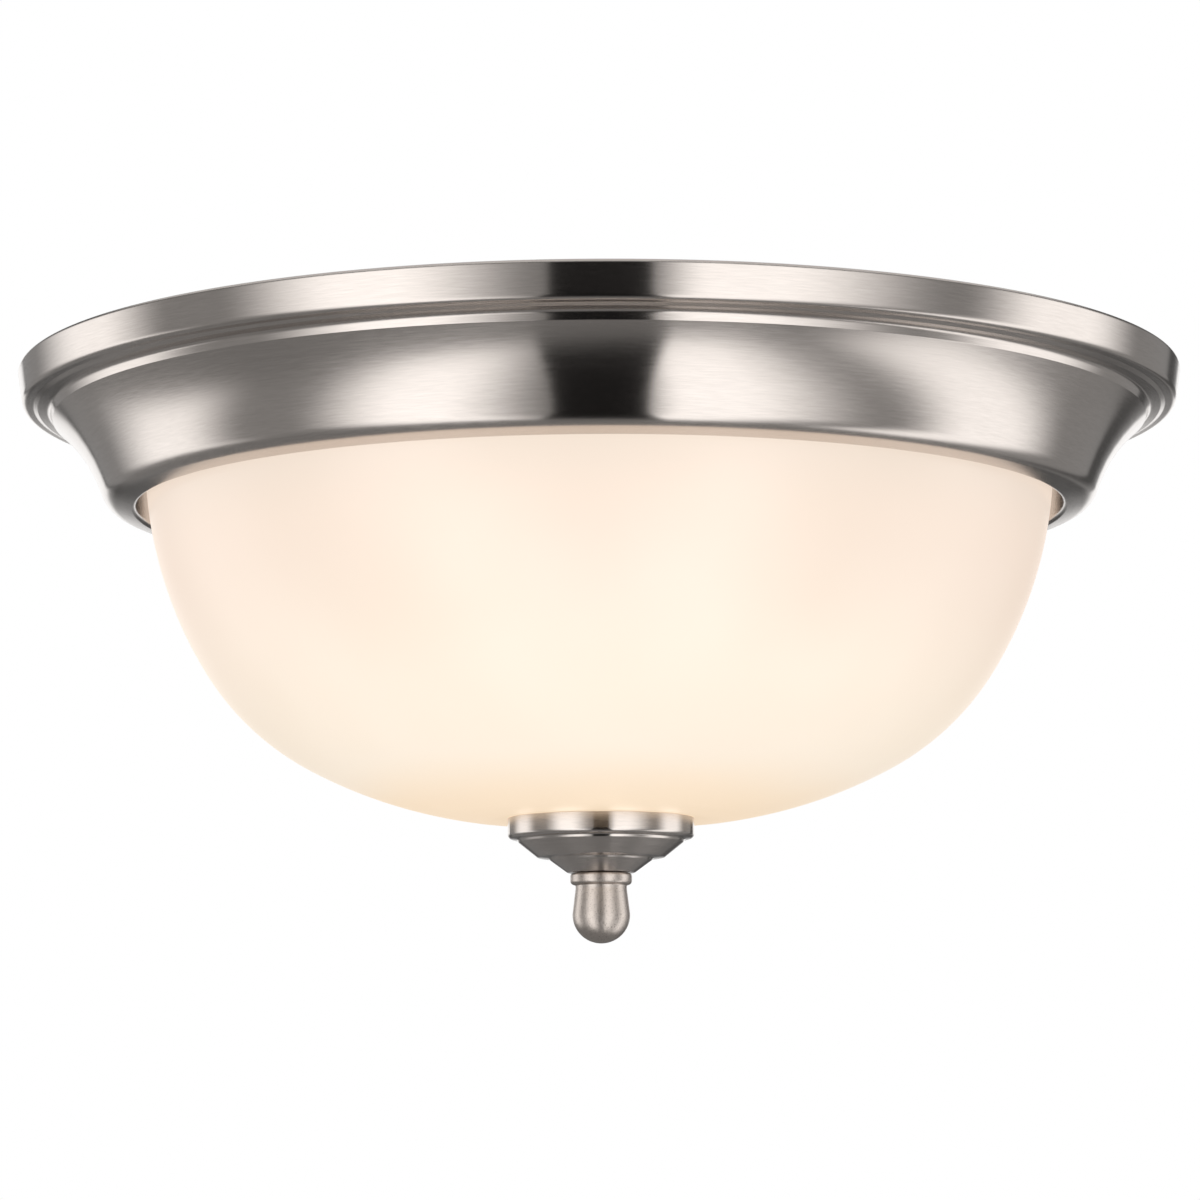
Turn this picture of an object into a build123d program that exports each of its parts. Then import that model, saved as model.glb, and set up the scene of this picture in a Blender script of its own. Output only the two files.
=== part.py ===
"""Flush mount ceiling light: a stepped steel pan with a cove, an opal glass bowl on a
threaded centre rod, and two lamps side by side inside the bowl, facing opposite ways.

Millimetres, +Z up. The origin is on the ceiling plane, on the pan's axis, so the whole
light hangs below z = 0. X runs along the lamps.
"""
from build123d import *
import math
import os

os.makedirs("parts", exist_ok=True)

# ---------------------------------------------------------------- clearances
FLAT_GAP = 0.2          # between flat faces that meet
CURVE_GAP = 0.3         # between round pieces that share an axis
THREAD_FIT = 0.05       # radial, a screw or rod in its tapped hole
HOLE_FIT = 0.3          # radial, a screw, rod or lead in its clearance hole

# ---------------------------------------------------------------- pan
PAN_RADIUS = 165.0
PAN_BORDER = 33.7       # from the wall round the glass out to the rim
SHEET = 0.8             # the pan's sheet steel
HEM_WIDTH = 4.0         # rim turned in flat against the ceiling
FLANGE_HEIGHT = 9.3
FLANGE_TAPER = 1.0      # how far the flange draws in towards its lower edge
SHELF_WIDTH = 8.0
SHELF_DROP = 1.8
TIER_HEIGHT = 2.35
TIER_TAPER = 0.9
COVE_TOP_ANGLE = 50.0   # how far the cove's surface faces down, at its top
COVE_END_ANGLE = 21.5   # and where it runs into the lip
COVE_RADIUS = 44.0
COVE_STRAIGHT = 0.4     # short flat between the tier's edge and the cove's arc
LIP_RADIUS = 5.5
LIP_SLOPE = 10.0        # the lip's underside, in degrees from level
PAN_DEPTH = 38.45       # ceiling to the lip's inner edge
DECK_DEPTH = 16.8       # ceiling to the underside of the recessed deck
CORNER_RADIUS = 1.0
SHELF_FILLET = 1.6
TIER_EDGE_RADIUS = 0.3
INNER_EDGE_RADIUS = 1.2
DECK_FILLET = 2.5

# ---------------------------------------------------------------- glass bowl
GLASS_PLAY = 2.3        # radial, between the bowl's rim and the wall round it
GLASS_WALL = 3.0
GLASS_NECK = 5.6        # straight part below the rim
SIDE_ARC = (116.0, 31.7)       # outer radius, and the angle the wall has turned to
SHOULDER_ARC = (75.5, 62.0)
CROWN_ARC = (135.0, 81.5)
GLASS_HOLE_RADIUS = 6.5

# ---------------------------------------------------------------- finial
CUP_RADIUS = 26.4
CUP_SHEET = 1.0
CUP_BAND = 5.5          # height of the cup's upright band
CUP_SHELF = 2.7         # width of the shelf below the band
CUP_SHELF_DROP = 1.0
CUP_TIER_RADIUS = 17.6  # where the upper cone ends
CUP_TIER_DROP = 4.3
CUP_STEP = 3.3          # width of the step between the two cones
CUP_STEP_DROP = 0.9
CUP_FOOT_RADIUS = 9.6
CUP_FOOT_DROP = 3.5
GASKET_WIDTH = 5.5
KNOB_COLLAR_RADIUS = 8.7
KNOB_COLLAR_HEIGHT = 3.3
KNOB_NECK_RADIUS = 7.25
KNOB_NECK_DROP = 1.1
KNOB_BODY_RADIUS = 8.13
KNOB_BODY_HEIGHT = 7.2
ROD_RADIUS = 3.0
ROD_ABOVE_DECK = 6.5
ROD_IN_KNOB = 9.5       # thread held by the knob
KNOB_TAP_SPARE = 1.2    # depth of the tapped hole beyond the rod's end
ROD_CHAMFER = 0.6

# ---------------------------------------------------------------- lamps and sockets
LAMP_OFFSET = 38.0      # each lamp's axis from the pan's axis
LAMP_DEPTH = 56.0       # ceiling to the lamps' axes
SOCKET_REAR = 70.0      # from the pan's axis to the back face of a socket
SOCKET_LENGTH = 42.0
SOCKET_RADIUS = 19.0
SOCKET_REAR_RADIUS = 16.5
SOCKET_STEP = 15.0      # length of the narrower rear part
SOCKET_FLARE = 3.0      # length of the slope between its two widths
SHELL_SETBACK = 1.5     # the screw shell ends this far inside the porcelain's mouth
SOCKET_FLOOR = 12.0     # porcelain behind the cavity
SHELL_SHEET = 0.4
BULB_BASE_RADIUS = 13.0
BULB_BASE_LENGTH = 22.0
BULB_RIDGES = 5
BULB_RIDGE_DEPTH = 0.7
BULB_INSULATOR = 4.0    # length of the dark glass cone behind the base
INSULATOR_FOOT = 1.0    # it stands out past the tip by this
INSULATOR_INSET = 1.5   # and stays inside the base's edge by this
BULB_TIP_RADIUS = 4.8
BULB_TIP_HEIGHT = 1.5
BULB_RADIUS = 30.0
BULB_LENGTH = 107.0
BULB_NECK_RADIUS = 13.4
BULB_NECK_LENGTH = 2.44
BULB_WALL = 0.8
STEM_HEIGHT = 24.0      # the glass stem, above the rim of the bulb's base
STEM_RADIUS = 4.0
STEM_TOP_RADIUS = 3.2
STEM_FLARE = 9.0        # length over which its foot widens to the seal
STEM_RIM = 1.0
STUB_LENGTH = 6.0       # part of the envelope inside the base
SUPPORT_RISE = 6.0      # straight part of each support wire above the stem
FILAMENT_RADIUS = 0.4
FILAMENT_FOOT = 1.4     # each support wire from the stem's axis, where it leaves the stem
FILAMENT_SPAN = 22.0
CONTACT_RISE = 4.0      # centre contact above the porcelain floor
CONTACT_WIDTH = 5.0
CONTACT_SHEET = 0.5
CONTACT_FOOT = (5.0, -2.0)      # ends of its flat foot, measured across the socket's axis
CONTACT_KNEE = (-4.4, 0.65)     # its outermost point, and how much of the rise is below it
CONTACT_CREST = (0.5, 3.0)      # ends of the part that slopes gently under the bulb's tip
CONTACT_END_DROP = 0.15         # share of the rise
BULB_SEAT_GAP = 0.3     # between the centre contact and the bulb's tip

# ---------------------------------------------------------------- brackets
BRACKET_SHEET = 1.5
BRACKET_WIDTH = 30.0    # plate behind the socket
BRACKET_WEB = 16.0      # narrower part that rises to the deck
BRACKET_BEND = 1.5
BRACKET_LEG = 19.5
PLATE_BELOW_AXIS = 14.0
PLATE_ABOVE_AXIS = 14.0
RIVET_RADIUS = 1.6
RIVET_HEAD_RADIUS = 3.2
RIVET_HEAD = 1.2
RIVET_SPACING = 20.0    # the two rivets, side by side below the lead holes
RIVET_DROP = 7.0
RIVET_GRIP = 7.2        # shank inside the porcelain
RIVET_HOLE_SPARE = 1.2  # depth of its hole beyond the shank
DOME = 0.6              # share of a rivet head's or contact tip's height that is rounded
BRACKET_CORNER = 4.0
BRACKET_SCREW_RADIUS = 2.0
BRACKET_SCREW_SPACING = 9.0
SCREW_HEAD_RADIUS = 4.0
SCREW_HEAD = 2.4
HEAD_ROUNDING = 0.35    # share of a screw head's height
SLOT_DEPTH = 0.4        # share of its height
SLOT_WIDTH = 0.28       # share of its radius
SCREW_GRIP = 5.0        # how far a bracket screw reaches above the deck

# ---------------------------------------------------------------- mounting
BAR_SHEET = 1.6
BAR_WIDTH = 20.0
BAR_SLOT_EDGE = 5.55    # from the outer screw place in a slot to the bar's bend
BAR_JOG = 4.0           # its ends are set down by this
BAR_JOG_RUN = 4.0
BAR_SCREW_EDGE = 3.15   # from the bend's lower end to the mounting screw
BAR_END_EDGE = 7.85     # from the mounting screw to the bar's end
BAR_CENTRE_HOLE = 5.2   # takes a pipe nipple on lights that hang from one
BOX_SPACING_SMALL = 69.85   # the two standard screw spacings of an outlet box
BOX_SPACING_LARGE = 88.9
BOX_SLOT_RADIUS = 2.4
MOUNT_SCREW_RADIUS = 2.08
MOUNT_HEAD_RADIUS = 4.2
MOUNT_HEAD = 3.0
MOUNT_SCREW_SPARE = 2.5     # thread that shows above the bar
KEYHOLE_RADIUS = 5.0
KEYHOLE_REACH = 11.0        # from the narrow end of a keyhole to its round end
GROUND_SCREW_X = -25.0
GROUND_SCREW_RADIUS = 2.4
GROUND_HEAD_RADIUS = 4.8
GROUND_HEAD = 3.0
NUT_FLATS = 10.0
NUT_HEIGHT = 5.0
WASHER_RADIUS = 6.0
WASHER_HEIGHT = 1.2

# ---------------------------------------------------------------- insulation and wiring
PAD_EDGE = 2.3          # from the pad's edge to the pan's inner wall
PAD_HOLE_RADIUS = 76.0
PAD_HEIGHT = 8.0
WIRE_HOLE_Y = 22.0
WIRE_HOLE_RADIUS = 11.1
BUSHING_WALL = 1.4
BUSHING_FLANGE = 2.2
BUSHING_FLANGE_HEIGHT = 1.2
BUSHING_SNAP = 1.6
LEAD_RADIUS = 1.1
LEAD_HOLE_DEPTH = 4.0
LEAD_RISE = 7.0         # lead holes above the lamp's axis
LEAD_SIDE = {"black": 7.0, "white": 3.0}    # lead holes, from the lamp's axis to the pan's
CONNECTOR_RADIUS = 6.0
CONNECTOR_END_RADIUS = 4.2
CONNECTOR_LENGTH = 20.0
CONNECTOR_WALL = 1.2
CONNECTOR_DEPTH = 15.0
CONNECTOR_GROOVES = 8
GROOVE_RADIUS = 0.9
GROOVE_OFFSET = 0.2     # its axis, outside the widest radius
GROOVE_START = 5.0
CONNECTOR_MOUTH_Y = 42.0
CONNECTOR_Z = -9.6
CONNECTOR_X = {"black": 9.0, "white": -9.0, "ground": 30.0}
LEAD_PAIR = 1.2         # half the distance between two leads in a connector
LEAD_IN_CONNECTOR = 3.0
BOND_SCREW_Y = 20.0
BOND_SCREW_RADIUS = 2.0
TERMINAL_SHEET = 0.8
TERMINAL_RADIUS = 4.4
TERMINAL_BARREL = 5.0
TERMINAL_WALL = 0.5

# ---------------------------------------------------------------- places worked out from the sizes
INNER_WALL_RADIUS = PAN_RADIUS - PAN_BORDER
GLASS_RADIUS = INNER_WALL_RADIUS - GLASS_PLAY
PAD_RADIUS = INNER_WALL_RADIUS - PAD_EDGE
DECK_BOTTOM = -DECK_DEPTH
DECK_TOP = DECK_BOTTOM + SHEET
GLASS_TOP = DECK_BOTTOM - FLAT_GAP
LAMP_Z = -LAMP_DEPTH
SHELL_RADIUS = BULB_BASE_RADIUS + CURVE_GAP
SHELL_OUTER = SHELL_RADIUS + SHELL_SHEET
CAVITY_RADIUS = SHELL_OUTER + FLAT_GAP
CONTACT_TOP = SOCKET_FLOOR + CONTACT_RISE
BULB_TIP = CONTACT_TOP + BULB_SEAT_GAP
BAR_END_Z = -BAR_JOG - BAR_SHEET
BAR_FLAT = BOX_SPACING_LARGE + 2 * BAR_SLOT_EDGE    # flush with the ceiling
MOUNT_SPACING = BAR_FLAT + 2 * (BAR_JOG_RUN + BAR_SCREW_EDGE)
BAR_LENGTH = MOUNT_SPACING + 2 * BAR_END_EDGE
ROD_BORE = ROD_RADIUS + HOLE_FIT
FIRST_SCREW_BACK = BRACKET_SHEET + BRACKET_BEND + FLAT_GAP + SCREW_HEAD_RADIUS
BRACKET_SCREW_BACK = (FIRST_SCREW_BACK, FIRST_SCREW_BACK + BRACKET_SCREW_SPACING)


def angle_point(radius, degrees):
    """Point at this angle below level on a circle about the origin, as (r, z)."""
    turn = math.radians(degrees)
    return radius * math.cos(turn), -radius * math.sin(turn)


def unit(start, end):
    length = math.dist(start, end)
    return (end[0] - start[0]) / length, (end[1] - start[1]) / length


def crossing(point_a, way_a, point_b, way_b):
    """Where two lines in a plane meet."""
    cross = way_a[0] * way_b[1] - way_a[1] * way_b[0]
    gap_x, gap_y = point_b[0] - point_a[0], point_b[1] - point_a[1]
    along = (gap_x * way_b[1] - gap_y * way_b[0]) / cross
    return point_a[0] + along * way_a[0], point_a[1] + along * way_a[1]


def sheet_face(points, radii, thickness):
    """Section of a bent sheet: an open path with a fillet at each inner point, thickened
    to the right of the path, so that every bend keeps one centre for both faces."""
    ways = [unit(a, b) for a, b in zip(points, points[1:])]
    shifted = [((p[0] + way[1] * thickness, p[1] - way[0] * thickness), way)
               for p, way in zip(points, ways)]
    last_way = ways[-1]
    back = [shifted[0][0]]
    back_radii = []
    for (before, after, radius) in zip(shifted, shifted[1:], radii):
        back.append(crossing(before[0], before[1], after[0], after[1]))
        turn = before[1][0] * after[1][1] - before[1][1] * after[1][0]
        back_radii.append(radius + thickness if turn > 0 else max(radius - thickness, 0.0))
    end = points[-1]
    back.append((end[0] + last_way[1] * thickness, end[1] - last_way[0] * thickness))
    front_line = FilletPolyline(*points, radius=radii)
    back_line = FilletPolyline(*back, radius=back_radii)
    ends = [Line(points[0], back[0]), Line(points[-1], back[-1])]
    return make_face(front_line.edges() + back_line.edges() + ends)


def spun(face):
    """Revolve a face drawn as (radius, height) about the vertical axis."""
    return revolve(Plane.XZ * face, axis=Axis.Z)


def ring(inner, outer, bottom, height):
    return Pos(0, 0, bottom) * extrude(Circle(outer) - Circle(inner), height)


def rod(radius, bottom, height):
    return Pos(0, 0, bottom) * extrude(Circle(radius), height)


def along_x(solid):
    """Turn a solid that was built along +Z so that it lies along +X."""
    return Rot(0, 90, 0) * solid


def both_lamps(solid):
    """A piece of lamp A and its twin of lamp B, turned half round the pan's axis."""
    placed = Pos(-SOCKET_REAR, LAMP_OFFSET, LAMP_Z) * solid
    return {"a": placed, "b": Rot(0, 0, 180) * placed}


# ---------------------------------------------------------------- pan
def pan_path():
    """The pan's visible surface from its hem to its centre, as (r, z), and its fillets."""
    rim = (PAN_RADIUS, 0)
    flange = (PAN_RADIUS - FLANGE_TAPER, -FLANGE_HEIGHT)
    shelf = (flange[0] - SHELF_WIDTH, flange[1] - SHELF_DROP)
    tier = (shelf[0] - TIER_TAPER, shelf[1] - TIER_HEIGHT)
    inner = (INNER_WALL_RADIUS, -PAN_DEPTH)
    top_way = angle_point(1, 90 + COVE_TOP_ANGLE)
    end_way = angle_point(1, 90 + COVE_END_ANGLE)
    half_turn = math.radians((COVE_TOP_ANGLE - COVE_END_ANGLE) / 2)
    reach = COVE_RADIUS * math.tan(half_turn) + COVE_STRAIGHT
    bend = (tier[0] + top_way[0] * reach, tier[1] + top_way[1] * reach)
    under_way = angle_point(1, 180 - LIP_SLOPE)
    lip = crossing(bend, end_way, inner, under_way)
    deck = (INNER_WALL_RADIUS, DECK_BOTTOM)
    points = [(PAN_RADIUS - HEM_WIDTH, 0), rim, flange, shelf, tier, bend, lip, inner, deck,
              (0, DECK_BOTTOM)]
    radii = [CORNER_RADIUS, CORNER_RADIUS, SHELF_FILLET, TIER_EDGE_RADIUS, COVE_RADIUS,
             LIP_RADIUS, INNER_EDGE_RADIUS, DECK_FILLET]
    return points, radii


def deck_cut(sketch):
    """Cutter that goes right through the pan's deck."""
    return Pos(0, 0, DECK_BOTTOM - SHEET) * extrude(sketch, 3 * SHEET)


def bracket_screw_places():
    """Where the screws that hold the socket brackets stand, as (x, y) on the deck."""
    return [(side * (SOCKET_REAR + back), -side * LAMP_OFFSET)
            for side in (-1, 1) for back in BRACKET_SCREW_BACK]


def keyhole(side):
    """Keyhole for one mounting screw: the pan turns until the screw is in the narrow end."""
    x = side * MOUNT_SPACING / 2
    narrow = MOUNT_SCREW_RADIUS + HOLE_FIT
    round_end = Pos(x, -side * KEYHOLE_REACH) * Circle(KEYHOLE_RADIUS)
    slot = Pos(x, -side * KEYHOLE_REACH / 2) * Rectangle(2 * narrow, KEYHOLE_REACH)
    return Pos(x, 0) * Circle(narrow) + slot + round_end


def pan():
    points, radii = pan_path()
    shell = spun(sheet_face(points, radii, SHEET))
    holes = Circle(ROD_BORE) + Pos(0, WIRE_HOLE_Y) * Circle(WIRE_HOLE_RADIUS)
    holes += Pos(CONNECTOR_X["ground"], BOND_SCREW_Y) * Circle(BOND_SCREW_RADIUS + THREAD_FIT)
    for side in (-1, 1):
        holes += keyhole(side)
    for place in bracket_screw_places():
        holes += Pos(*place) * Circle(BRACKET_SCREW_RADIUS + THREAD_FIT)
    return shell - deck_cut(holes)


def insulation_pad():
    pad = ring(PAD_HOLE_RADIUS, PAD_RADIUS, DECK_TOP, PAD_HEIGHT)
    for place in bracket_screw_places():
        pad -= Pos(*place) * rod(BRACKET_SCREW_RADIUS + HOLE_FIT, DECK_BOTTOM, 2 * PAD_HEIGHT)
    return pad


# ---------------------------------------------------------------- glass bowl
def bowl_arcs(offset):
    """The bowl's three tangent arcs, this far outside its outer face, from the neck down."""
    point = (GLASS_RADIUS + offset, GLASS_TOP - GLASS_NECK)
    arcs = []
    start_angle = 0.0
    for radius, end_angle in (SIDE_ARC, SHOULDER_ARC, CROWN_ARC):
        bend = radius + offset
        start = angle_point(bend, start_angle)
        centre = (point[0] - start[0], point[1] - start[1])
        way = [angle_point(bend, a) for a in ((start_angle + end_angle) / 2, end_angle)]
        middle, end = [(centre[0] + w[0], centre[1] + w[1]) for w in way]
        arcs.append(ThreePointArc(point, middle, end))
        point = end
        start_angle = end_angle
    return arcs, point


def glass_bowl():
    outer, outer_end = bowl_arcs(0)
    inner, inner_end = bowl_arcs(-GLASS_WALL)
    rim_inner = GLASS_RADIUS - GLASS_WALL
    neck = GLASS_TOP - GLASS_NECK
    lines = [
        Line((GLASS_RADIUS, GLASS_TOP), (GLASS_RADIUS, neck)),
        Line(outer_end, (GLASS_HOLE_RADIUS, outer_end[1])),
        Line((GLASS_HOLE_RADIUS, outer_end[1]), (GLASS_HOLE_RADIUS, inner_end[1])),
        Line((GLASS_HOLE_RADIUS, inner_end[1]), inner_end),
        Line((rim_inner, neck), (rim_inner, GLASS_TOP)),
        Line((rim_inner, GLASS_TOP), (GLASS_RADIUS, GLASS_TOP)),
    ]
    bowl = spun(make_face(outer + inner + lines))
    rim = bowl.edges().filter_by(GeomType.CIRCLE).group_by(Axis.Z)[-1]
    return fillet(rim, GLASS_WALL / 4)


GLASS_SEAT = bowl_arcs(0)[1][1]

# ---------------------------------------------------------------- finial
CUP_TOP = GLASS_SEAT - FLAT_GAP
CUP_LEVELS = [CUP_TOP - CUP_BAND]
for drop in (CUP_SHELF_DROP, CUP_TIER_DROP, CUP_STEP_DROP, CUP_FOOT_DROP):
    CUP_LEVELS.append(CUP_LEVELS[-1] - drop)
KNOB_TOP = CUP_LEVELS[-1] - FLAT_GAP
COLLAR_BOTTOM = KNOB_TOP - KNOB_COLLAR_HEIGHT
NECK_Z = COLLAR_BOTTOM - KNOB_NECK_DROP
BODY_Z = NECK_Z - KNOB_BODY_HEIGHT
KNOB_BOTTOM = BODY_Z - KNOB_BODY_RADIUS
ROD_BOTTOM = KNOB_TOP - ROD_IN_KNOB


def finial_cup():
    band, shelf, tier, step, foot = CUP_LEVELS
    points = [(CUP_RADIUS, CUP_TOP), (CUP_RADIUS, band), (CUP_RADIUS - CUP_SHELF, shelf),
              (CUP_TIER_RADIUS, tier), (CUP_TIER_RADIUS - CUP_STEP, step),
              (CUP_FOOT_RADIUS, foot), (ROD_BORE, foot)]
    radii = [0.9, 0.8, 0.5, 0.8, 0.4]
    return spun(sheet_face(points, radii, CUP_SHEET))


def cup_gasket():
    outer = CUP_RADIUS - CUP_SHEET - CURVE_GAP
    bottom = CUP_LEVELS[0] + CUP_SHEET + FLAT_GAP
    return ring(outer - GASKET_WIDTH, outer, bottom, CUP_TOP - bottom)


def finial_knob():
    upper = [(KNOB_BODY_RADIUS, BODY_Z), (KNOB_NECK_RADIUS, NECK_Z),
             (KNOB_NECK_RADIUS, COLLAR_BOTTOM), (KNOB_COLLAR_RADIUS, COLLAR_BOTTOM),
             (KNOB_COLLAR_RADIUS, KNOB_TOP), (0, KNOB_TOP)]
    outline = FilletPolyline(*upper, radius=[0.4, 0.4, 1.2, 0.9])
    low = angle_point(KNOB_BODY_RADIUS, 45)
    end = ThreePointArc((KNOB_BODY_RADIUS, BODY_Z), (low[0], BODY_Z + low[1]), (0, KNOB_BOTTOM))
    axis_line = Line((0, KNOB_BOTTOM), (0, KNOB_TOP))
    knob = spun(make_face(outline.edges() + [end, axis_line]))
    depth = ROD_IN_KNOB + KNOB_TAP_SPARE
    return knob - rod(ROD_RADIUS + THREAD_FIT, KNOB_TOP - depth, depth + 1)


# ---------------------------------------------------------------- centre rod
def hex_nut(bottom):
    body = extrude(RegularPolygon(NUT_FLATS / 2, 6, major_radius=False), NUT_HEIGHT)
    return Pos(0, 0, bottom) * (body - rod(ROD_RADIUS + THREAD_FIT, -1, NUT_HEIGHT + 2))


def centre_rod():
    top = DECK_TOP + ROD_ABOVE_DECK
    shaft = rod(ROD_RADIUS, ROD_BOTTOM, top - ROD_BOTTOM)
    return chamfer(shaft.edges().filter_by(GeomType.CIRCLE), ROD_CHAMFER)


def rod_nuts():
    return [hex_nut(DECK_TOP), hex_nut(DECK_BOTTOM - WASHER_HEIGHT - NUT_HEIGHT)]


def rod_washer():
    return ring(ROD_BORE, WASHER_RADIUS, DECK_BOTTOM - WASHER_HEIGHT, WASHER_HEIGHT)


# ---------------------------------------------------------------- screws
def screw(radius, shank, head_radius, head):
    """Slotted screw with its head below z = 0 and its shank above."""
    cap = Pos(0, 0, -head) * extrude(Circle(head_radius), head)
    cap = fillet(cap.edges().group_by(Axis.Z)[0], head * HEAD_ROUNDING)
    cap -= Pos(0, 0, -head) * Box(2 * head_radius, head_radius * SLOT_WIDTH, 2 * head * SLOT_DEPTH)
    return cap + rod(radius, 0, shank)


def bracket_screws():
    shank = BRACKET_SHEET + SHEET + SCREW_GRIP
    piece = screw(BRACKET_SCREW_RADIUS, shank, SCREW_HEAD_RADIUS, SCREW_HEAD)
    return [Pos(x, y, DECK_BOTTOM - BRACKET_SHEET) * piece for x, y in bracket_screw_places()]


def mounting_screws():
    shank = DECK_DEPTH - BAR_JOG + MOUNT_SCREW_SPARE
    piece = screw(MOUNT_SCREW_RADIUS, shank, MOUNT_HEAD_RADIUS, MOUNT_HEAD)
    return [Pos(side * MOUNT_SPACING / 2, 0, DECK_BOTTOM) * piece for side in (-1, 1)]


def ground_screw():
    head = extrude(RegularPolygon(GROUND_HEAD_RADIUS, 6), -GROUND_HEAD)
    return Pos(GROUND_SCREW_X, 0, -BAR_SHEET) * (head + rod(GROUND_SCREW_RADIUS, 0, BAR_SHEET))


def bond_screw():
    shank = TERMINAL_SHEET + SHEET + BRACKET_SCREW_RADIUS
    piece = screw(BOND_SCREW_RADIUS, shank, SCREW_HEAD_RADIUS, SCREW_HEAD)
    return Pos(CONNECTOR_X["ground"], BOND_SCREW_Y, DECK_TOP + TERMINAL_SHEET) * Rot(180, 0, 0) * piece


# ---------------------------------------------------------------- crossbar
def crossbar():
    flat, run, end = BAR_FLAT / 2, BAR_JOG_RUN, BAR_LENGTH / 2
    points = [(-end, -BAR_JOG), (-flat - run, -BAR_JOG), (-flat, 0), (flat, 0),
              (flat + run, -BAR_JOG), (end, -BAR_JOG)]
    face = sheet_face(points, [BAR_SHEET] * 4, BAR_SHEET)
    bar = extrude(Plane.XZ * face, BAR_WIDTH / 2, both=True)
    reach = (BOX_SPACING_LARGE - BOX_SPACING_SMALL) / 2
    holes = Circle(BAR_CENTRE_HOLE)
    holes += Pos(GROUND_SCREW_X, 0) * Circle(GROUND_SCREW_RADIUS + THREAD_FIT)
    for side in (-1, 1):
        slot = SlotCenterToCenter(reach, 2 * BOX_SLOT_RADIUS)
        holes += Pos(side * (BOX_SPACING_LARGE - reach) / 2, 0) * slot
        tapped = Circle(MOUNT_SCREW_RADIUS + THREAD_FIT)
        holes += Pos(side * MOUNT_SPACING / 2, 0) * tapped
    bar -= Pos(0, 0, BAR_END_Z - 1) * extrude(holes, BAR_JOG + BAR_SHEET + 2)
    return fillet(bar.edges().filter_by(Axis.Z).group_by(Axis.X)[0]
                  + bar.edges().filter_by(Axis.Z).group_by(Axis.X)[-1], BAR_WIDTH / 4)


# ---------------------------------------------------------------- sockets
def socket_body():
    points = [(0, 0), (SOCKET_REAR_RADIUS, 0), (SOCKET_REAR_RADIUS, SOCKET_STEP),
              (SOCKET_RADIUS, SOCKET_STEP + SOCKET_FLARE), (SOCKET_RADIUS, SOCKET_LENGTH),
              (CAVITY_RADIUS, SOCKET_LENGTH), (CAVITY_RADIUS, SOCKET_FLOOR), (0, SOCKET_FLOOR)]
    outline = FilletPolyline(*points, radius=[2.0, 1.5, 1.5, 2.0, 1.2, 0.0])
    body = along_x(spun(make_face(outline.edges() + [Line(points[-1], points[0])])))
    for side in LEAD_SIDE.values():
        hole = along_x(rod(LEAD_RADIUS + HOLE_FIT, -1, LEAD_HOLE_DEPTH + 2))
        body -= Pos(0, -side, LEAD_RISE) * hole
    for place in rivet_places():
        body -= place * along_x(rod(RIVET_RADIUS + THREAD_FIT, -1, RIVET_GRIP + RIVET_HOLE_SPARE + 1))
    return body


def rivet_places():
    return [Pos(0, side * RIVET_SPACING / 2, -RIVET_DROP) for side in (-1, 1)]


def socket_rivets():
    """Two rivets through a bracket's plate into the porcelain."""
    shank = rod(RIVET_RADIUS, 0, BRACKET_SHEET + RIVET_GRIP)
    head = Pos(0, 0, -RIVET_HEAD) * extrude(Circle(RIVET_HEAD_RADIUS), RIVET_HEAD)
    head = fillet(head.edges().group_by(Axis.Z)[0], RIVET_HEAD * DOME)
    rivet = Pos(-BRACKET_SHEET, 0, 0) * along_x(head + shank)
    return [place * rivet for place in rivet_places()]


def socket_shell():
    """Screw shell, as the plain cylinder inside which the bulb's thread turns."""
    length = SOCKET_LENGTH - SOCKET_FLOOR - SHELL_SETBACK
    tube = ring(SHELL_RADIUS, SHELL_OUTER, SOCKET_FLOOR, length)
    floor = ring(SHELL_RADIUS / 2, SHELL_OUTER, SOCKET_FLOOR, SHELL_SHEET)
    return along_x(tube + floor)


def centre_contact():
    """Folded brass spring on the cavity's floor, whose crest meets the bulb's tip."""
    points = [(CONTACT_FOOT[0], SOCKET_FLOOR), (CONTACT_FOOT[1], SOCKET_FLOOR),
              (CONTACT_KNEE[0], SOCKET_FLOOR + CONTACT_KNEE[1] * CONTACT_RISE),
              (CONTACT_CREST[0], CONTACT_TOP),
              (CONTACT_CREST[1], CONTACT_TOP - CONTACT_END_DROP * CONTACT_RISE)]
    face = sheet_face(points, [1.0, 0.8, 0.8], CONTACT_SHEET)
    return along_x(extrude(Plane.XZ * face, CONTACT_WIDTH / 2, both=True))


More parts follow.
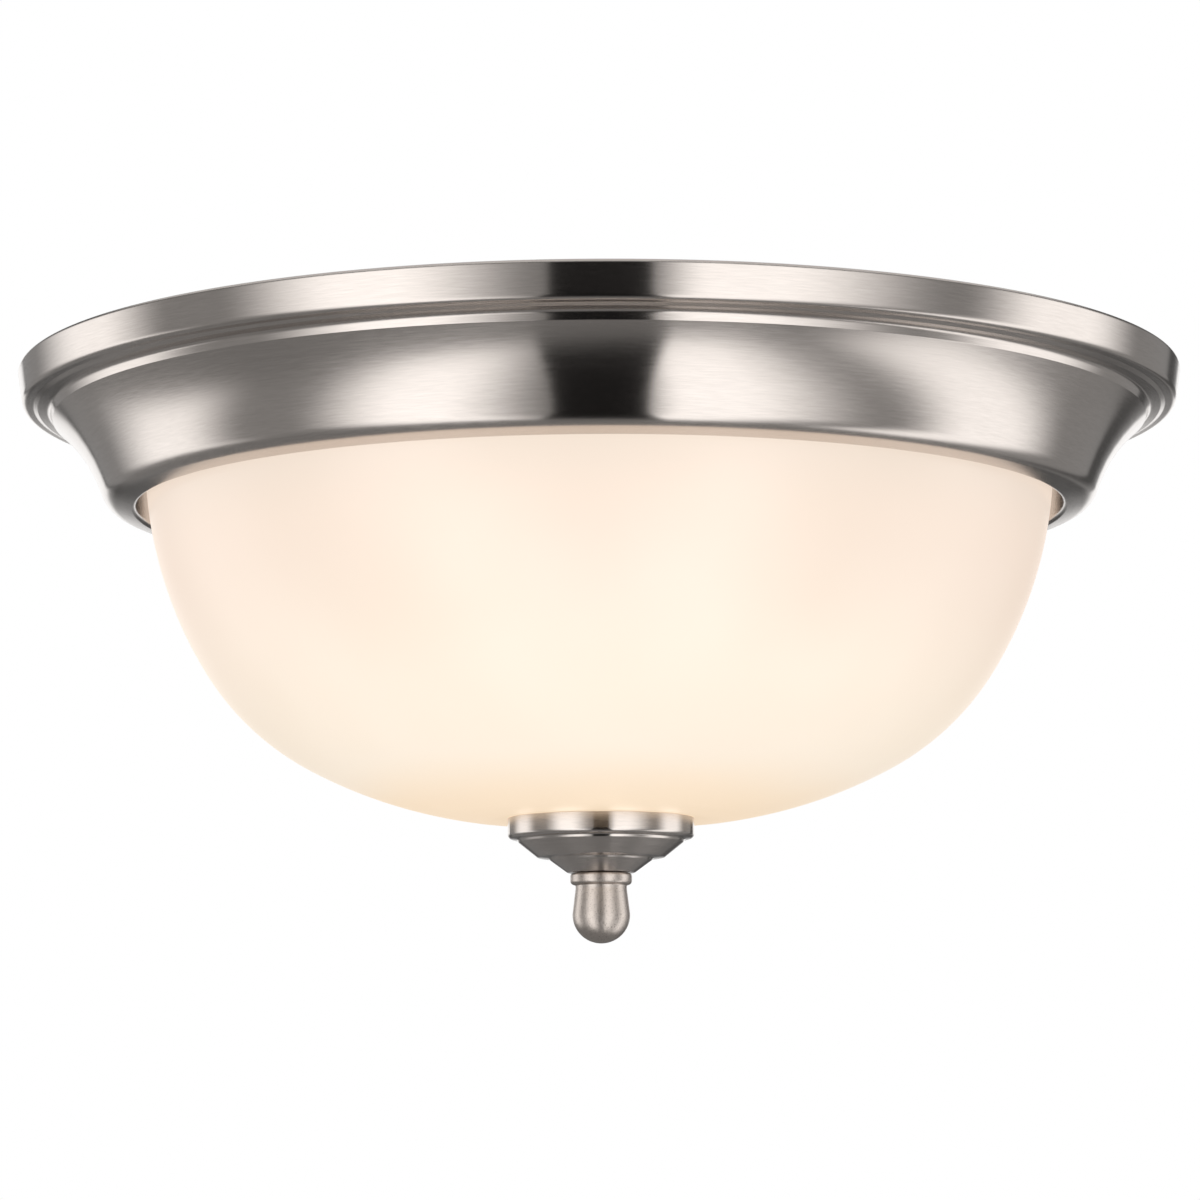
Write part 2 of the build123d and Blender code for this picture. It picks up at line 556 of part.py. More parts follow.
def socket_bracket():
    """Plate behind the socket, with a web that rises to a leg on the deck."""
    top = LAMP_DEPTH - DECK_DEPTH
    points = [(-BRACKET_SHEET, PLATE_ABOVE_AXIS - BRACKET_WEB / 2),
              (-BRACKET_SHEET, top - BRACKET_SHEET),
              (-BRACKET_SHEET - BRACKET_LEG, top - BRACKET_SHEET)]
    face = sheet_face(points, [BRACKET_BEND], BRACKET_SHEET)
    web = extrude(Plane.XZ * face, BRACKET_WEB / 2, both=True)
    outline = RectangleRounded(PLATE_BELOW_AXIS + PLATE_ABOVE_AXIS, BRACKET_WIDTH, BRACKET_CORNER)
    middle = (PLATE_ABOVE_AXIS - PLATE_BELOW_AXIS) / 2
    plate = Pos(-BRACKET_SHEET, 0, middle) * along_x(extrude(outline, BRACKET_SHEET))
    bracket = web + plate
    for place in rivet_places():
        bracket -= place * along_x(rod(RIVET_RADIUS + THREAD_FIT, -3 * BRACKET_SHEET, BRACKET_LEG))
    for side in LEAD_SIDE.values():
        hole = along_x(rod(LEAD_RADIUS + HOLE_FIT, -3 * BRACKET_SHEET, BRACKET_LEG))
        bracket -= Pos(0, -side, LEAD_RISE) * hole
    for back in BRACKET_SCREW_BACK:
        bracket -= Pos(-back, 0, 0) * rod(BRACKET_SCREW_RADIUS + HOLE_FIT, 0, 2 * top)
    return bracket


# ---------------------------------------------------------------- bulbs
BASE_START = BULB_TIP + BULB_TIP_HEIGHT + BULB_INSULATOR
BASE_END = BASE_START + BULB_BASE_LENGTH
BULB_CENTRE = BULB_TIP + BULB_LENGTH - BULB_RADIUS
STUB_RADIUS = BULB_BASE_RADIUS - BULB_RIDGE_DEPTH - 2 * BULB_WALL
STUB_START = BASE_END - STUB_LENGTH
STEM_TOP = BASE_END + STEM_HEIGHT
FLARE_RISE = BULB_CENTRE - BASE_END - BULB_NECK_LENGTH
BULB_FLARE_RADIUS = ((FLARE_RISE ** 2 + BULB_NECK_RADIUS ** 2 - BULB_RADIUS ** 2)
                     / (2 * (BULB_RADIUS - BULB_NECK_RADIUS)))


def bulb_tip():
    disc = Pos(0, 0, BULB_TIP) * extrude(Circle(BULB_TIP_RADIUS), BULB_TIP_HEIGHT)
    return along_x(fillet(disc.edges().group_by(Axis.Z)[0], BULB_TIP_HEIGHT * DOME))


def bulb_insulator():
    low, high = BULB_TIP + BULB_TIP_HEIGHT, BASE_START
    points = [(0, low), (BULB_TIP_RADIUS + INSULATOR_FOOT, low),
              (BULB_BASE_RADIUS - INSULATOR_INSET, high), (0, high)]
    return along_x(spun(make_face(Polyline(*points, close=True))))


def bulb_base():
    """Screw shell with its rolled thread as round ridges."""
    pitch = (BULB_BASE_LENGTH - BULB_WALL * 4) / BULB_RIDGES
    valley = BULB_BASE_RADIUS - BULB_RIDGE_DEPTH
    edges = []
    level = BASE_START + BULB_WALL
    for _ in range(BULB_RIDGES):
        edges.append(ThreePointArc((valley, level), (BULB_BASE_RADIUS, level + pitch / 2),
                                   (valley, level + pitch)))
        level += pitch
    inner = STUB_RADIUS + BULB_WALL / 4
    rest = [(valley, level), (valley, BASE_END), (inner, BASE_END), (inner, BASE_START),
            (valley, BASE_START), (valley, BASE_START + BULB_WALL)]
    return along_x(spun(make_face(edges + Polyline(*rest).edges())))


def bulb_side(offset):
    """Neck, flare and round end of the envelope, this far outside its outer face."""
    neck = BULB_NECK_RADIUS + offset
    flare = BULB_FLARE_RADIUS - offset
    end = BULB_RADIUS + offset
    flare_centre_r = neck + flare
    rise = math.sqrt((end + flare) ** 2 - flare_centre_r ** 2)
    angle = math.degrees(math.atan2(-rise, flare_centre_r))
    flare_z = BULB_CENTRE - rise
    return flare_z, [
        CenterArc((flare_centre_r, flare_z), flare, 180, angle),
        CenterArc((0, BULB_CENTRE), end, angle, 90 - angle),
    ]


def bulb_envelope():
    """Hollow glass: the neck stands on the base's rim, with a stub down inside the base."""
    outer_start, outer = bulb_side(0)
    inner_start, inner = bulb_side(-BULB_WALL)
    neck, neck_inner = BULB_NECK_RADIUS, BULB_NECK_RADIUS - BULB_WALL
    stub_inner = STUB_RADIUS - BULB_WALL
    shoulder = BASE_END + 2 * BULB_WALL
    chain = [(neck, outer_start), (neck, BASE_END), (STUB_RADIUS, BASE_END),
             (STUB_RADIUS, STUB_START), (stub_inner, STUB_START), (stub_inner, shoulder - BULB_WALL),
             (neck_inner, shoulder), (neck_inner, inner_start)]
    top = Line((0, BULB_CENTRE + BULB_RADIUS), (0, BULB_CENTRE + BULB_RADIUS - BULB_WALL))
    return along_x(spun(make_face(outer + inner + Polyline(*chain).edges() + [top])))


def bulb_stem():
    """Glass stem, flared where it is sealed into the envelope's stub."""
    flare = STUB_RADIUS - BULB_WALL - 0.2
    points = [(0, STUB_START), (flare, STUB_START), (flare, STUB_START + STEM_RIM),
              (STEM_RADIUS, STUB_START + STEM_FLARE), (STEM_TOP_RADIUS, STEM_TOP), (0, STEM_TOP)]
    outline = FilletPolyline(*points, radius=[0.2, 0.4, 6.0, 1.2])
    return along_x(spun(make_face(outline.edges() + [Line(points[-1], points[0])])))


def bulb_filament():
    """Two support wires from the stem and the coil between them, as one bent wire."""
    half = [(STEM_TOP, FILAMENT_FOOT), (STEM_TOP + SUPPORT_RISE, FILAMENT_FOOT),
            (BULB_CENTRE, FILAMENT_SPAN / 2)]
    points = [(x, 0, z) for x, z in half] + [(x, 0, -z) for x, z in reversed(half)]
    path = FilletPolyline(*points, radius=[4.0, 1.2, 1.2, 4.0])
    return sweep(Plane(path @ 0, z_dir=path % 0) * Circle(FILAMENT_RADIUS), path=path)


# ---------------------------------------------------------------- wiring
def lead(points):
    """Insulated lead along straight runs joined by arcs as large as the runs allow."""
    radii = []
    for before, here, after in zip(points, points[1:], points[2:]):
        run_in, run_out = Vector(*here) - Vector(*before), Vector(*after) - Vector(*here)
        half_turn = math.radians(run_in.get_angle(run_out)) / 2
        radii.append(0.45 * min(run_in.length, run_out.length) / math.tan(half_turn))
    path = FilletPolyline(*points, radius=radii)
    tube = sweep(Plane(path @ 0, z_dir=path % 0) * Circle(LEAD_RADIUS), path=path)
    section = math.pi * LEAD_RADIUS ** 2
    print(f"lead: length {path.length:.1f}, least radius {min(radii):.1f}, "
          f"volume over section times length {tube.volume / section / path.length:.4f}")
    return tube


def lead_start(side, colour):
    """Bottom of a lead's hole in the back of a socket."""
    x = SOCKET_REAR - LEAD_HOLE_DEPTH
    y = LAMP_OFFSET - LEAD_SIDE[colour]
    return side * x, -side * y, LAMP_Z + LEAD_RISE


def lead_end(colour, step):
    """Where a lead ends, inside its wire connector."""
    x = CONNECTOR_X[colour] + step * LEAD_PAIR
    return x, CONNECTOR_MOUTH_Y + LEAD_IN_CONNECTOR, CONNECTOR_Z


LEAD_ROUTES = {
    "lead_black_a": [
        lead_start(-1, "black"), (-85, 30.5, -48), (-87, 24, -26), (-66, 21, -20.8),
        (-42, 17.5, -20.9), (-22, 15.5, -20.8), (-6, 15.2, -20.6), (4, 17, -10.5),
        (10.2, 33, -9.6), lead_end("black", 1),
    ],
    "lead_white_a": [
        lead_start(-1, "white"), (-88, 34.5, -48.5), (-91, 27.5, -25.5), (-68, 25.5, -20.6),
        (-44, 23, -20.9), (-24, 20.5, -20.8), (-8, 21.5, -20.6), (-3.5, 28, -10.5),
        (-10.2, 38, -9.6), lead_end("white", -1),
    ],
    "lead_black_b": [
        lead_start(1, "black"), (85, -30.5, -48), (87, -24, -26), (67, -14.5, -20.8),
        (46, -1, -20.9), (25, 13.5, -20.8), (7, 22.5, -20.6), (4.5, 28.5, -10.5),
        (7.8, 37, -9.6), lead_end("black", -1),
    ],
    "lead_white_b": [
        lead_start(1, "white"), (88, -34.5, -48.5), (91, -28, -25.5), (70, -21, -20.7),
        (48, -7.5, -20.8), (25, 6.5, -20.9), (7.5, 17, -20.8), (0, 27.5, -10.3),
        (-7.8, 38.5, -9.6), lead_end("white", 1),
    ],
}


def bond_terminal():
    """Ring terminal under the bond screw, with a barrel for the ground lead."""
    x = CONNECTOR_X["ground"]
    bore = LEAD_RADIUS + THREAD_FIT
    outer = bore + TERMINAL_WALL
    eye = Circle(TERMINAL_RADIUS) + Pos(0, TERMINAL_RADIUS) * Rectangle(2 * outer, 4.0)
    plate = extrude(eye - Circle(BOND_SCREW_RADIUS + HOLE_FIT), TERMINAL_SHEET)
    axis = Pos(0, TERMINAL_RADIUS, outer) * Rot(-90, 0, 0)
    terminal = plate + axis * rod(outer, 0, TERMINAL_BARREL) - axis * rod(bore, 1, TERMINAL_BARREL)
    return Pos(x, BOND_SCREW_Y, DECK_TOP) * terminal


def ground_route():
    x = CONNECTOR_X["ground"]
    start_y = BOND_SCREW_Y + TERMINAL_RADIUS + 1.5
    start_z = DECK_TOP + LEAD_RADIUS + THREAD_FIT + TERMINAL_WALL
    return [(x, start_y, start_z), (x, 32.4, start_z), (x, 38.4, CONNECTOR_Z), lead_end("ground", 0)]


def wire_bushing():
    """Snap bushing that lines the wire hole in the deck."""
    outer = WIRE_HOLE_RADIUS - HOLE_FIT / 2
    inner = outer - BUSHING_WALL
    flange = ring(inner, outer + BUSHING_FLANGE, DECK_BOTTOM - BUSHING_FLANGE_HEIGHT,
                  BUSHING_FLANGE_HEIGHT)
    sleeve = ring(inner, outer, DECK_BOTTOM - BUSHING_FLANGE_HEIGHT,
                  BUSHING_FLANGE_HEIGHT + SHEET + BUSHING_SNAP)
    snap = ring(inner, outer + HOLE_FIT, DECK_TOP, BUSHING_SNAP)
    return Pos(0, WIRE_HOLE_Y, 0) * (flange + sleeve + snap)


def wire_connectors():
    """Three twist-on connectors lying in the hollow above the deck."""
    end = CONNECTOR_END_RADIUS
    outline = [(0, CONNECTOR_LENGTH), (end, CONNECTOR_LENGTH), (CONNECTOR_RADIUS, 0),
               (CONNECTOR_RADIUS - CONNECTOR_WALL, 0), (end - CONNECTOR_WALL, CONNECTOR_DEPTH),
               (0, CONNECTOR_DEPTH)]
    edge = FilletPolyline(*outline, radius=[1.6, 0.4, 0.3, 0.8])
    cap = spun(make_face(edge.edges() + [Line(outline[-1], outline[0])]))
    groove = rod(GROOVE_RADIUS, GROOVE_START, CONNECTOR_LENGTH)
    for index in range(CONNECTOR_GROOVES):
        turn = Rot(0, 0, index * 360 / CONNECTOR_GROOVES)
        cap -= turn * Pos(CONNECTOR_RADIUS + GROOVE_OFFSET, 0, 0) * groove
    cap = Rot(-90, 0, 0) * cap
    return [Pos(x, CONNECTOR_MOUTH_Y, CONNECTOR_Z) * cap for x in CONNECTOR_X.values()]


# ---------------------------------------------------------------- nodes
nodes = {
    "pan": pan(),
    "insulation_pad": insulation_pad(),
    "crossbar": crossbar(),
    "mounting_screws": mounting_screws(),
    "ground_screw": ground_screw(),
    "centre_rod": centre_rod(),
    "rod_nuts": rod_nuts(),
    "rod_washer": rod_washer(),
    "bracket_screws": bracket_screws(),
    "wire_bushing": wire_bushing(),
    "wire_connectors": wire_connectors(),
    "bond_terminal": bond_terminal(),
    "bond_screw": bond_screw(),
    "ground_lead": lead(ground_route()),
    "glass_bowl": glass_bowl(),
    "finial_cup": finial_cup(),
    "cup_gasket": cup_gasket(),
    "finial_knob": finial_knob(),
}
for name, route in LEAD_ROUTES.items():
    nodes[name] = lead(route)

lamp_pieces = {
    "socket_bracket": socket_bracket(),
    "socket_body": socket_body(),
    "socket_shell": socket_shell(),
    "centre_contact": centre_contact(),
    "bulb_tip": bulb_tip(),
    "bulb_insulator": bulb_insulator(),
    "bulb_base": bulb_base(),
    "bulb_envelope": bulb_envelope(),
    "bulb_stem": bulb_stem(),
    "bulb_filament": bulb_filament(),
}
for name, piece in lamp_pieces.items():
    for lamp, placed in both_lamps(piece).items():
        nodes[f"{name}_{lamp}"] = placed
nodes["socket_rivets"] = [placed for rivet in socket_rivets()
                          for placed in both_lamps(rivet).values()]

for name, shape in nodes.items():
    solids = shape if isinstance(shape, list) else [shape]
    export_step(Compound(children=[Solid(s.solid().wrapped) for s in solids]), f"parts/{name}.step")
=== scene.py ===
"""Looks of the flush mount ceiling light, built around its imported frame.

Metres, +Z up into the ceiling, the ceiling plane at z = 0, X along the two lamps. Profiles are
written in millimetres, as (radius, height), and turned about the light's axis or a lamp's.
"""
import math

import bmesh
import bpy
from mathutils import Matrix, Vector, noise


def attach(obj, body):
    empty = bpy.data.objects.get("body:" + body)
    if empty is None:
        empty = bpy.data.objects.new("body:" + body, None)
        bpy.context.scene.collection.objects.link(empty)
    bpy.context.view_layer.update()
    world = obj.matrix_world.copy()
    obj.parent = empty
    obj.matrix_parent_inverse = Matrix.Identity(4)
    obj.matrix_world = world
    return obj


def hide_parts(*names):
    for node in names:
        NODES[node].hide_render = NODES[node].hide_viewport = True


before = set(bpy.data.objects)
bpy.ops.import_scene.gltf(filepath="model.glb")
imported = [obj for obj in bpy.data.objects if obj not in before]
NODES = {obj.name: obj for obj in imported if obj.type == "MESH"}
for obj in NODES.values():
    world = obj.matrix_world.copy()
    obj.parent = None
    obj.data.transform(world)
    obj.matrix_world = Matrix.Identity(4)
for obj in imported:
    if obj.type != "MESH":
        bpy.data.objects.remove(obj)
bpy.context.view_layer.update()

MM = 0.001


# ================================================================ materials
PASS_TO_LINE = 4            # width of a brush's pass to that of its fine lines
BRUSH_DEPTH = 0.02 * MM


def tone(code):
    """Linear colour of an sRGB hex code."""
    channels = [int(code[i:i + 2], 16) / 255 for i in (0, 2, 4)]
    return [c / 12.92 if c <= 0.04045 else ((c + 0.055) / 1.055) ** 2.4 for c in channels] + [1.0]


def add(tree, kind, settings=None, inputs=None, stops=(), smooth=False):
    """A node with its settings, its sockets set to values or linked to outputs, and its colour
    ramp's (position, colour) stops where it has one."""
    node = tree.nodes.new(kind)
    for key, value in (settings or {}).items():
        setattr(node, key, value)
    for key, value in (inputs or {}).items():
        if isinstance(value, bpy.types.NodeSocket):
            tree.links.new(value, node.inputs[key])
        else:
            node.inputs[key].default_value = value
    if stops:
        node.color_ramp.interpolation = "EASE" if smooth else "LINEAR"
        elements = node.color_ramp.elements
        elements[0].position, elements[0].color = stops[0]
        elements[1].position, elements[1].color = stops[-1]
        for position, colour in stops[1:-1]:
            elements.new(position).color = colour
    return node


def new_material(name, **finish):
    """A material with one principled shader, whose plain finish is set on its own sockets."""
    material = bpy.data.materials.new(name)
    material.use_nodes = True
    tree = material.node_tree
    tree.nodes.clear()
    shader = add(tree, "ShaderNodeBsdfPrincipled", inputs=finish)
    add(tree, "ShaderNodeOutputMaterial", inputs={"Surface": shader.outputs[0]})
    return material, tree, shader


def brush_lines(tree, spacing_mm, length_mm, at_radius_mm):
    """Noise drawn out round the light's axis, as a brush leaves it on a spinning sheet."""
    place = add(tree, "ShaderNodeTexCoord").outputs["Object"]
    flat = add(tree, "ShaderNodeVectorMath", {"operation": "MULTIPLY"}, {0: place, 1: (1, 1, 0)})
    radius = add(tree, "ShaderNodeVectorMath", {"operation": "LENGTH"}, {0: flat.outputs[0]})
    way = add(tree, "ShaderNodeVectorMath", {"operation": "NORMALIZE"}, {0: flat.outputs[0]})
    height = add(tree, "ShaderNodeSeparateXYZ", inputs={0: place}).outputs["Z"]
    # A level face is crossed by its radius and an upright one by its height, so both count.
    across = add(tree, "ShaderNodeMath", {"operation": "MULTIPLY_ADD"},
                 {0: radius.outputs["Value"], 1: 0.7, 2: height})
    lines = add(tree, "ShaderNodeMath", {"operation": "MULTIPLY"},
                {0: across.outputs[0], 1: 1 / (spacing_mm * MM)})
    around = add(tree, "ShaderNodeVectorMath", {"operation": "SCALE"},
                 {0: way.outputs[0], "Scale": at_radius_mm / length_mm})
    upright = add(tree, "ShaderNodeCombineXYZ", inputs={"Z": lines.outputs[0]})
    where = add(tree, "ShaderNodeVectorMath", {"operation": "ADD"},
                {0: around.outputs[0], 1: upright.outputs[0]})
    return add(tree, "ShaderNodeTexNoise", None,
               {"Vector": where.outputs[0], "Scale": 1.0, "Detail": 3.0}).outputs["Fac"]


def brushed_nickel(name, at_radius_mm, line_mm, streak_mm):
    """Satin nickel plate, brushed while the sheet spins: the fine lines smear each reflection
    across the brushing and leave it crisp along it. Broad bands under the fine lines come from
    the passes of the brush."""
    material, tree, shader = new_material(name, **{
        "Metallic": 1.0, "Anisotropic": 1.0, "Anisotropic Rotation": 0.25})
    fine = brush_lines(tree, line_mm, streak_mm, at_radius_mm)
    broad = brush_lines(tree, PASS_TO_LINE * line_mm, PASS_TO_LINE * streak_mm, at_radius_mm)
    mixed = add(tree, "ShaderNodeMix", {"data_type": "FLOAT"}, {0: 0.35, 2: fine, 3: broad})
    colour = add(tree, "ShaderNodeValToRGB", None, {"Fac": mixed.outputs[0]},
                 [(0.25, tone("CDC5BF")), (0.75, tone("DBD3CD"))])
    tree.links.new(colour.outputs[0], shader.inputs["Base Color"])
    rough = add(tree, "ShaderNodeMapRange", None,
                {"Value": mixed.outputs[0], "To Min": 0.13, "To Max": 0.21})
    tree.links.new(rough.outputs[0], shader.inputs["Roughness"])
    tangent = add(tree, "ShaderNodeTangent", {"direction_type": "RADIAL", "axis": "Z"})
    tree.links.new(tangent.outputs[0], shader.inputs["Tangent"])
    bump = add(tree, "ShaderNodeBump", None,
               {"Strength": 0.2, "Distance": BRUSH_DEPTH, "Height": fine})
    tree.links.new(bump.outputs[0], shader.inputs["Normal"])
    return material


def grained(name, dark, light, grain_mm, rough, relief_mm, coarse=False, **finish):
    """A finish whose colour, roughness and relief all follow one grain of a real size, with
    cells twice that size over it where it is coarse."""
    material, tree, shader = new_material(name, **finish)
    place = add(tree, "ShaderNodeTexCoord").outputs["Object"]
    grain = add(tree, "ShaderNodeTexNoise", None,
                {"Vector": place, "Scale": 1 / (grain_mm * MM), "Detail": 5.0})
    level = grain.outputs["Fac"]
    if coarse:
        cells = add(tree, "ShaderNodeTexVoronoi", None,
                    {"Vector": place, "Scale": 1 / (2 * grain_mm * MM)})
        level = add(tree, "ShaderNodeMath", {"operation": "MULTIPLY_ADD"},
                    {0: cells.outputs["Distance"], 1: 0.4, 2: level}).outputs[0]
    colour = add(tree, "ShaderNodeValToRGB", None, {"Fac": level},
                 [(0.3, tone(dark)), (0.7, tone(light))])
    tree.links.new(colour.outputs[0], shader.inputs["Base Color"])
    spread = add(tree, "ShaderNodeMapRange", None,
                 {"Value": level, "To Min": rough[0], "To Max": rough[1]})
    tree.links.new(spread.outputs[0], shader.inputs["Roughness"])
    bump = add(tree, "ShaderNodeBump", None,
               {"Strength": 0.6, "Distance": relief_mm * MM, "Height": level})
    tree.links.new(bump.outputs[0], shader.inputs["Normal"])
    return material


def glow(material, code, strength):
    """Light that a piece gives off itself, even over its surface."""
    shader = material.node_tree.nodes["Principled BSDF"]
    shader.inputs["Emission Color"].default_value = tone(code)
    shader.inputs["Emission Strength"].default_value = strength
    return material


def lit_opal_glass():
    """White opal glass, etched satin outside, with a painted warm glow in its emission for the lamps'
    light from inside: brightest under the lamps, painted shade a little greyer towards the pan, and
    more orange at the cap."""
    rim, seat = -17 * MM, -125 * MM
    material, tree, shader = new_material("lit_opal_glass", **{
        "Roughness": 0.38, "IOR": 1.5, "Emission Strength": 0.685})
    place = add(tree, "ShaderNodeTexCoord").outputs["Object"]
    height = add(tree, "ShaderNodeSeparateXYZ", inputs={0: place}).outputs["Z"]
    depth = add(tree, "ShaderNodeMapRange", None,
                {"Value": height, "From Min": rim, "From Max": seat}).outputs[0]
    cloud = add(tree, "ShaderNodeTexNoise", None, {"Vector": place, "Scale": 14.0, "Detail": 2.0})
    uneven = add(tree, "ShaderNodeMath", {"operation": "MULTIPLY_ADD"},
                 {0: cloud.outputs["Fac"], 1: 0.12, 2: -0.06})
    level = add(tree, "ShaderNodeMath", {"operation": "ADD"}, {0: depth, 1: uneven.outputs[0]})
    # Painted glow: emission colour set by height, with noise, stands in for the lamps' light through
    # the glass, with greyer painted shade near the pan and orange near the cap.
    painted_glow = add(tree, "ShaderNodeValToRGB", None, {"Fac": level.outputs[0]}, [
        (0.0, tone("E9DCCF")), (0.35, tone("F9E3D2")),
        (0.88, tone("FFEFDB")), (1.0, tone("FFE3C0"))], True)
    tree.links.new(painted_glow.outputs[0], shader.inputs["Emission Color"])
    body = add(tree, "ShaderNodeValToRGB", None, {"Fac": cloud.outputs["Fac"]},
               [(0.3, tone("8A8379")), (0.7, tone("928C85"))])
    tree.links.new(body.outputs[0], shader.inputs["Base Color"])
    return material


# Nickel plate over the spun pan and the turned cap; their brushing has a length to suit. Real
# lines lie about 0.1 mm apart, and these are as coarse as they need to be to show.
pan_nickel = brushed_nickel("brushed_nickel_pan", 150.0, 0.35, 5.0)
cap_nickel = brushed_nickel("brushed_nickel_cap", 20.0, 0.25, 3.0)
# The knob is cast zinc alloy under the same plate, tumbled and not brushed, so it stays sandy.
cast_nickel = grained("cast_nickel", "A1978F", "D0C6BE", 0.3, (0.22, 0.34), 0.07, True,
                       Metallic=1.0)
# Clear zinc plate on pressed steel: silver with a blue cast and faint spangle.
zinc_plate = grained("zinc_plated_steel", "B6BABD", "D2D5D7", 1.2, (0.26, 0.38), 0.01, Metallic=1.0)
# The ground screw is zinc plated, then dyed green: the dye is clear enough to leave it metallic.
green_zinc = grained("green_dyed_zinc", "1F6B39", "2F8A4C", 0.8, (0.25, 0.40), 0.01, Metallic=0.7)
# Glass fibre mat: matt straw yellow, and its fibres lie every way.
fibre_mat = grained("glass_fibre_mat", "C9B983", "EDE3BE", 0.9, (0.85, 1.0), 0.5, True, **{
    "Sheen Weight": 0.3, "Sheen Roughness": 0.6})
# Glazed porcelain: a clear glaze over white clay, faintly uneven as it ran.
porcelain = grained("glazed_porcelain", "E9E6DE", "EFECE5", 5.0, (0.12, 0.20), 0.03, **{
    "IOR": 1.5, "Coat Weight": 0.6, "Coat Roughness": 0.06})
# Rolled aluminium of the screw shells, drawn thin, with fine handling marks.
rolled_aluminium = grained("rolled_aluminium", "B9B9B6", "DDDDDA", 0.7, (0.25, 0.42), 0.01,
                           Metallic=1.0)
# Spring brass of the contacts and the terminal, a little dulled.
spring_brass = grained("spring_brass", "B08A45", "D9B570", 0.8, (0.25, 0.42), 0.01, Metallic=1.0)
# Inside frosted soda glass round a lit filament: it glows evenly and hides the wires.
frosted_bulb = glow(grained("frosted_bulb_glass", "C9C4BA", "D6D1C8", 9.0, (0.10, 0.16), 0.02, **{
    "IOR": 1.5}), "FFEBCF", 0.75)
# Clear soda glass of the stem.
stem_glass = grained("clear_soda_glass", "DDE6E2", "EAF1EE", 6.0, (0.02, 0.06), 0.01, **{
    "IOR": 1.5, "Transmission Weight": 0.95})
# Black vitreous glass that insulates a bulb's tip.
black_glass = grained("black_vitreous_glass", "0C0B0B", "1A1817", 1.2, (0.08, 0.20), 0.03, IOR=1.5)
# Solder of the tip: dull, with the ripples it froze in.
solder = grained("solder", "8B8C8D", "B9BABA", 1.1, (0.30, 0.50), 0.08, Metallic=1.0)
# Drawn tungsten wire, lit: the coil itself is yellow white.
tungsten = glow(grained("tungsten_wire", "6B6660", "8F8A83", 0.3, (0.3, 0.5), 0.01, Metallic=1.0),
                "FFD79A", 2.0)
# Vinyl insulation of the leads: slightly uneven gloss, as it was extruded.
black_vinyl = grained("black_vinyl", "141414", "242322", 1.5, (0.32, 0.48), 0.02)
white_vinyl = grained("white_vinyl", "DAD7CF", "ECEAE4", 1.5, (0.32, 0.48), 0.02)
green_vinyl = grained("green_vinyl", "1E6A38", "2C8149", 1.5, (0.32, 0.48), 0.02)
# Moulded polypropylene of the twist-on connectors, fine spark-eroded grain.
orange_plastic = grained("moulded_polypropylene", "C4561C", "DB6A28", 0.5, (0.35, 0.52), 0.02)
# Black nylon of the snap bushing, satin as moulded.
black_nylon = grained("black_nylon", "151516", "262628", 0.6, (0.40, 0.55), 0.02)
# Foam rubber gasket, matt, with open cells at its skin.
gasket_rubber = grained("foam_rubber", "171717", "2B2A29", 0.35, (0.75, 0.95), 0.1, True)


# ================================================================ shapes
BEND_STEP = 6.0             # degrees from one point to the next round a bend
SHARP_DEGREES = 34.0        # angle between faces from which their edge shows as a corner


def rounded(points, radii):
    """An open path in mm with its inner corners rounded to these radii."""
    path = [points[0]]
    for before, here, after, radius in zip(points, points[1:], points[2:], radii):
        a, b, c = Vector(before), Vector(here), Vector(after)
        into, out = (b - a).normalized(), (c - b).normalized()
        turn = into.angle_signed(out)
        if radius <= 0 or abs(turn) < 1e-4:
            path.append(here)
            continue
        reach = radius * math.tan(abs(turn) / 2)
        start = b - into * reach
        side = 1 if turn < 0 else -1
        centre = start + Vector((-into.y, into.x)) * radius * side
        arm = start - centre
        steps = max(3, math.ceil(abs(math.degrees(turn)) / BEND_STEP))
        for i in range(steps + 1):
            spin = Matrix.Rotation(side * abs(turn) * i / steps, 2)
            path.append(tuple(centre + spin @ arm))
    path.append(points[-1])
    return path


def bent_sheet(points, radii, thickness):
    """Closed section in mm of a sheet that follows a path, its thickness on the right."""
    ways = [(Vector(b) - Vector(a)).normalized() for a, b in zip(points, points[1:])]
    rights = [Vector((w.y, -w.x)) * thickness for w in ways]
    back = [tuple(Vector(points[0]) + rights[0])]
    back_radii = []
    for i, radius in enumerate(radii):
        turn = ways[i].x * ways[i + 1].y - ways[i].y * ways[i + 1].x
        corner = Vector(points[i + 1])
        start = corner + rights[i]
        gap = corner + rights[i + 1] - start
        along = (gap.x * ways[i + 1].y - gap.y * ways[i + 1].x) / turn
        back.append(tuple(start + ways[i] * along))
        back_radii.append(radius + thickness if turn > 0 else max(radius - thickness, 0.0))
    back.append(tuple(Vector(points[-1]) + rights[-1]))
    return rounded(points, radii) + rounded(back, back_radii)[::-1]


def arc(centre, radius, start, end, step=3.0):
    """Points of an arc in a plane, its angles in degrees."""
    steps = max(2, math.ceil(abs(end - start) / step))
    angles = [math.radians(start + (end - start) * i / steps) for i in range(steps + 1)]
    return [(centre[0] + radius * math.cos(a), centre[1] + radius * math.sin(a)) for a in angles]


def new_piece(name, corners, faces, sharp_degrees=SHARP_DEGREES):
    """Mesh object with outward faces, smooth but for edges that turn a real corner."""
    mesh = bpy.data.meshes.new(name)
    mesh.from_pydata(corners, [], faces)
    piece = bpy.data.objects.new(name, mesh)
    bpy.context.scene.collection.objects.link(piece)
    settle(piece, sharp_degrees)
    return piece


def settle(piece, sharp_degrees=SHARP_DEGREES):
    """Close a piece's seams, turn its faces outward and mark its real corners sharp."""
    work = bmesh.new()
    work.from_mesh(piece.data)
    bmesh.ops.remove_doubles(work, verts=work.verts, dist=1e-7)
    bmesh.ops.recalc_face_normals(work, faces=work.faces)
    for face in work.faces:
        face.smooth = True
    for edge in work.edges:
        if len(edge.link_faces) == 2:
            edge.smooth = edge.calc_face_angle() < math.radians(sharp_degrees)
    work.to_mesh(piece.data)
    work.free()


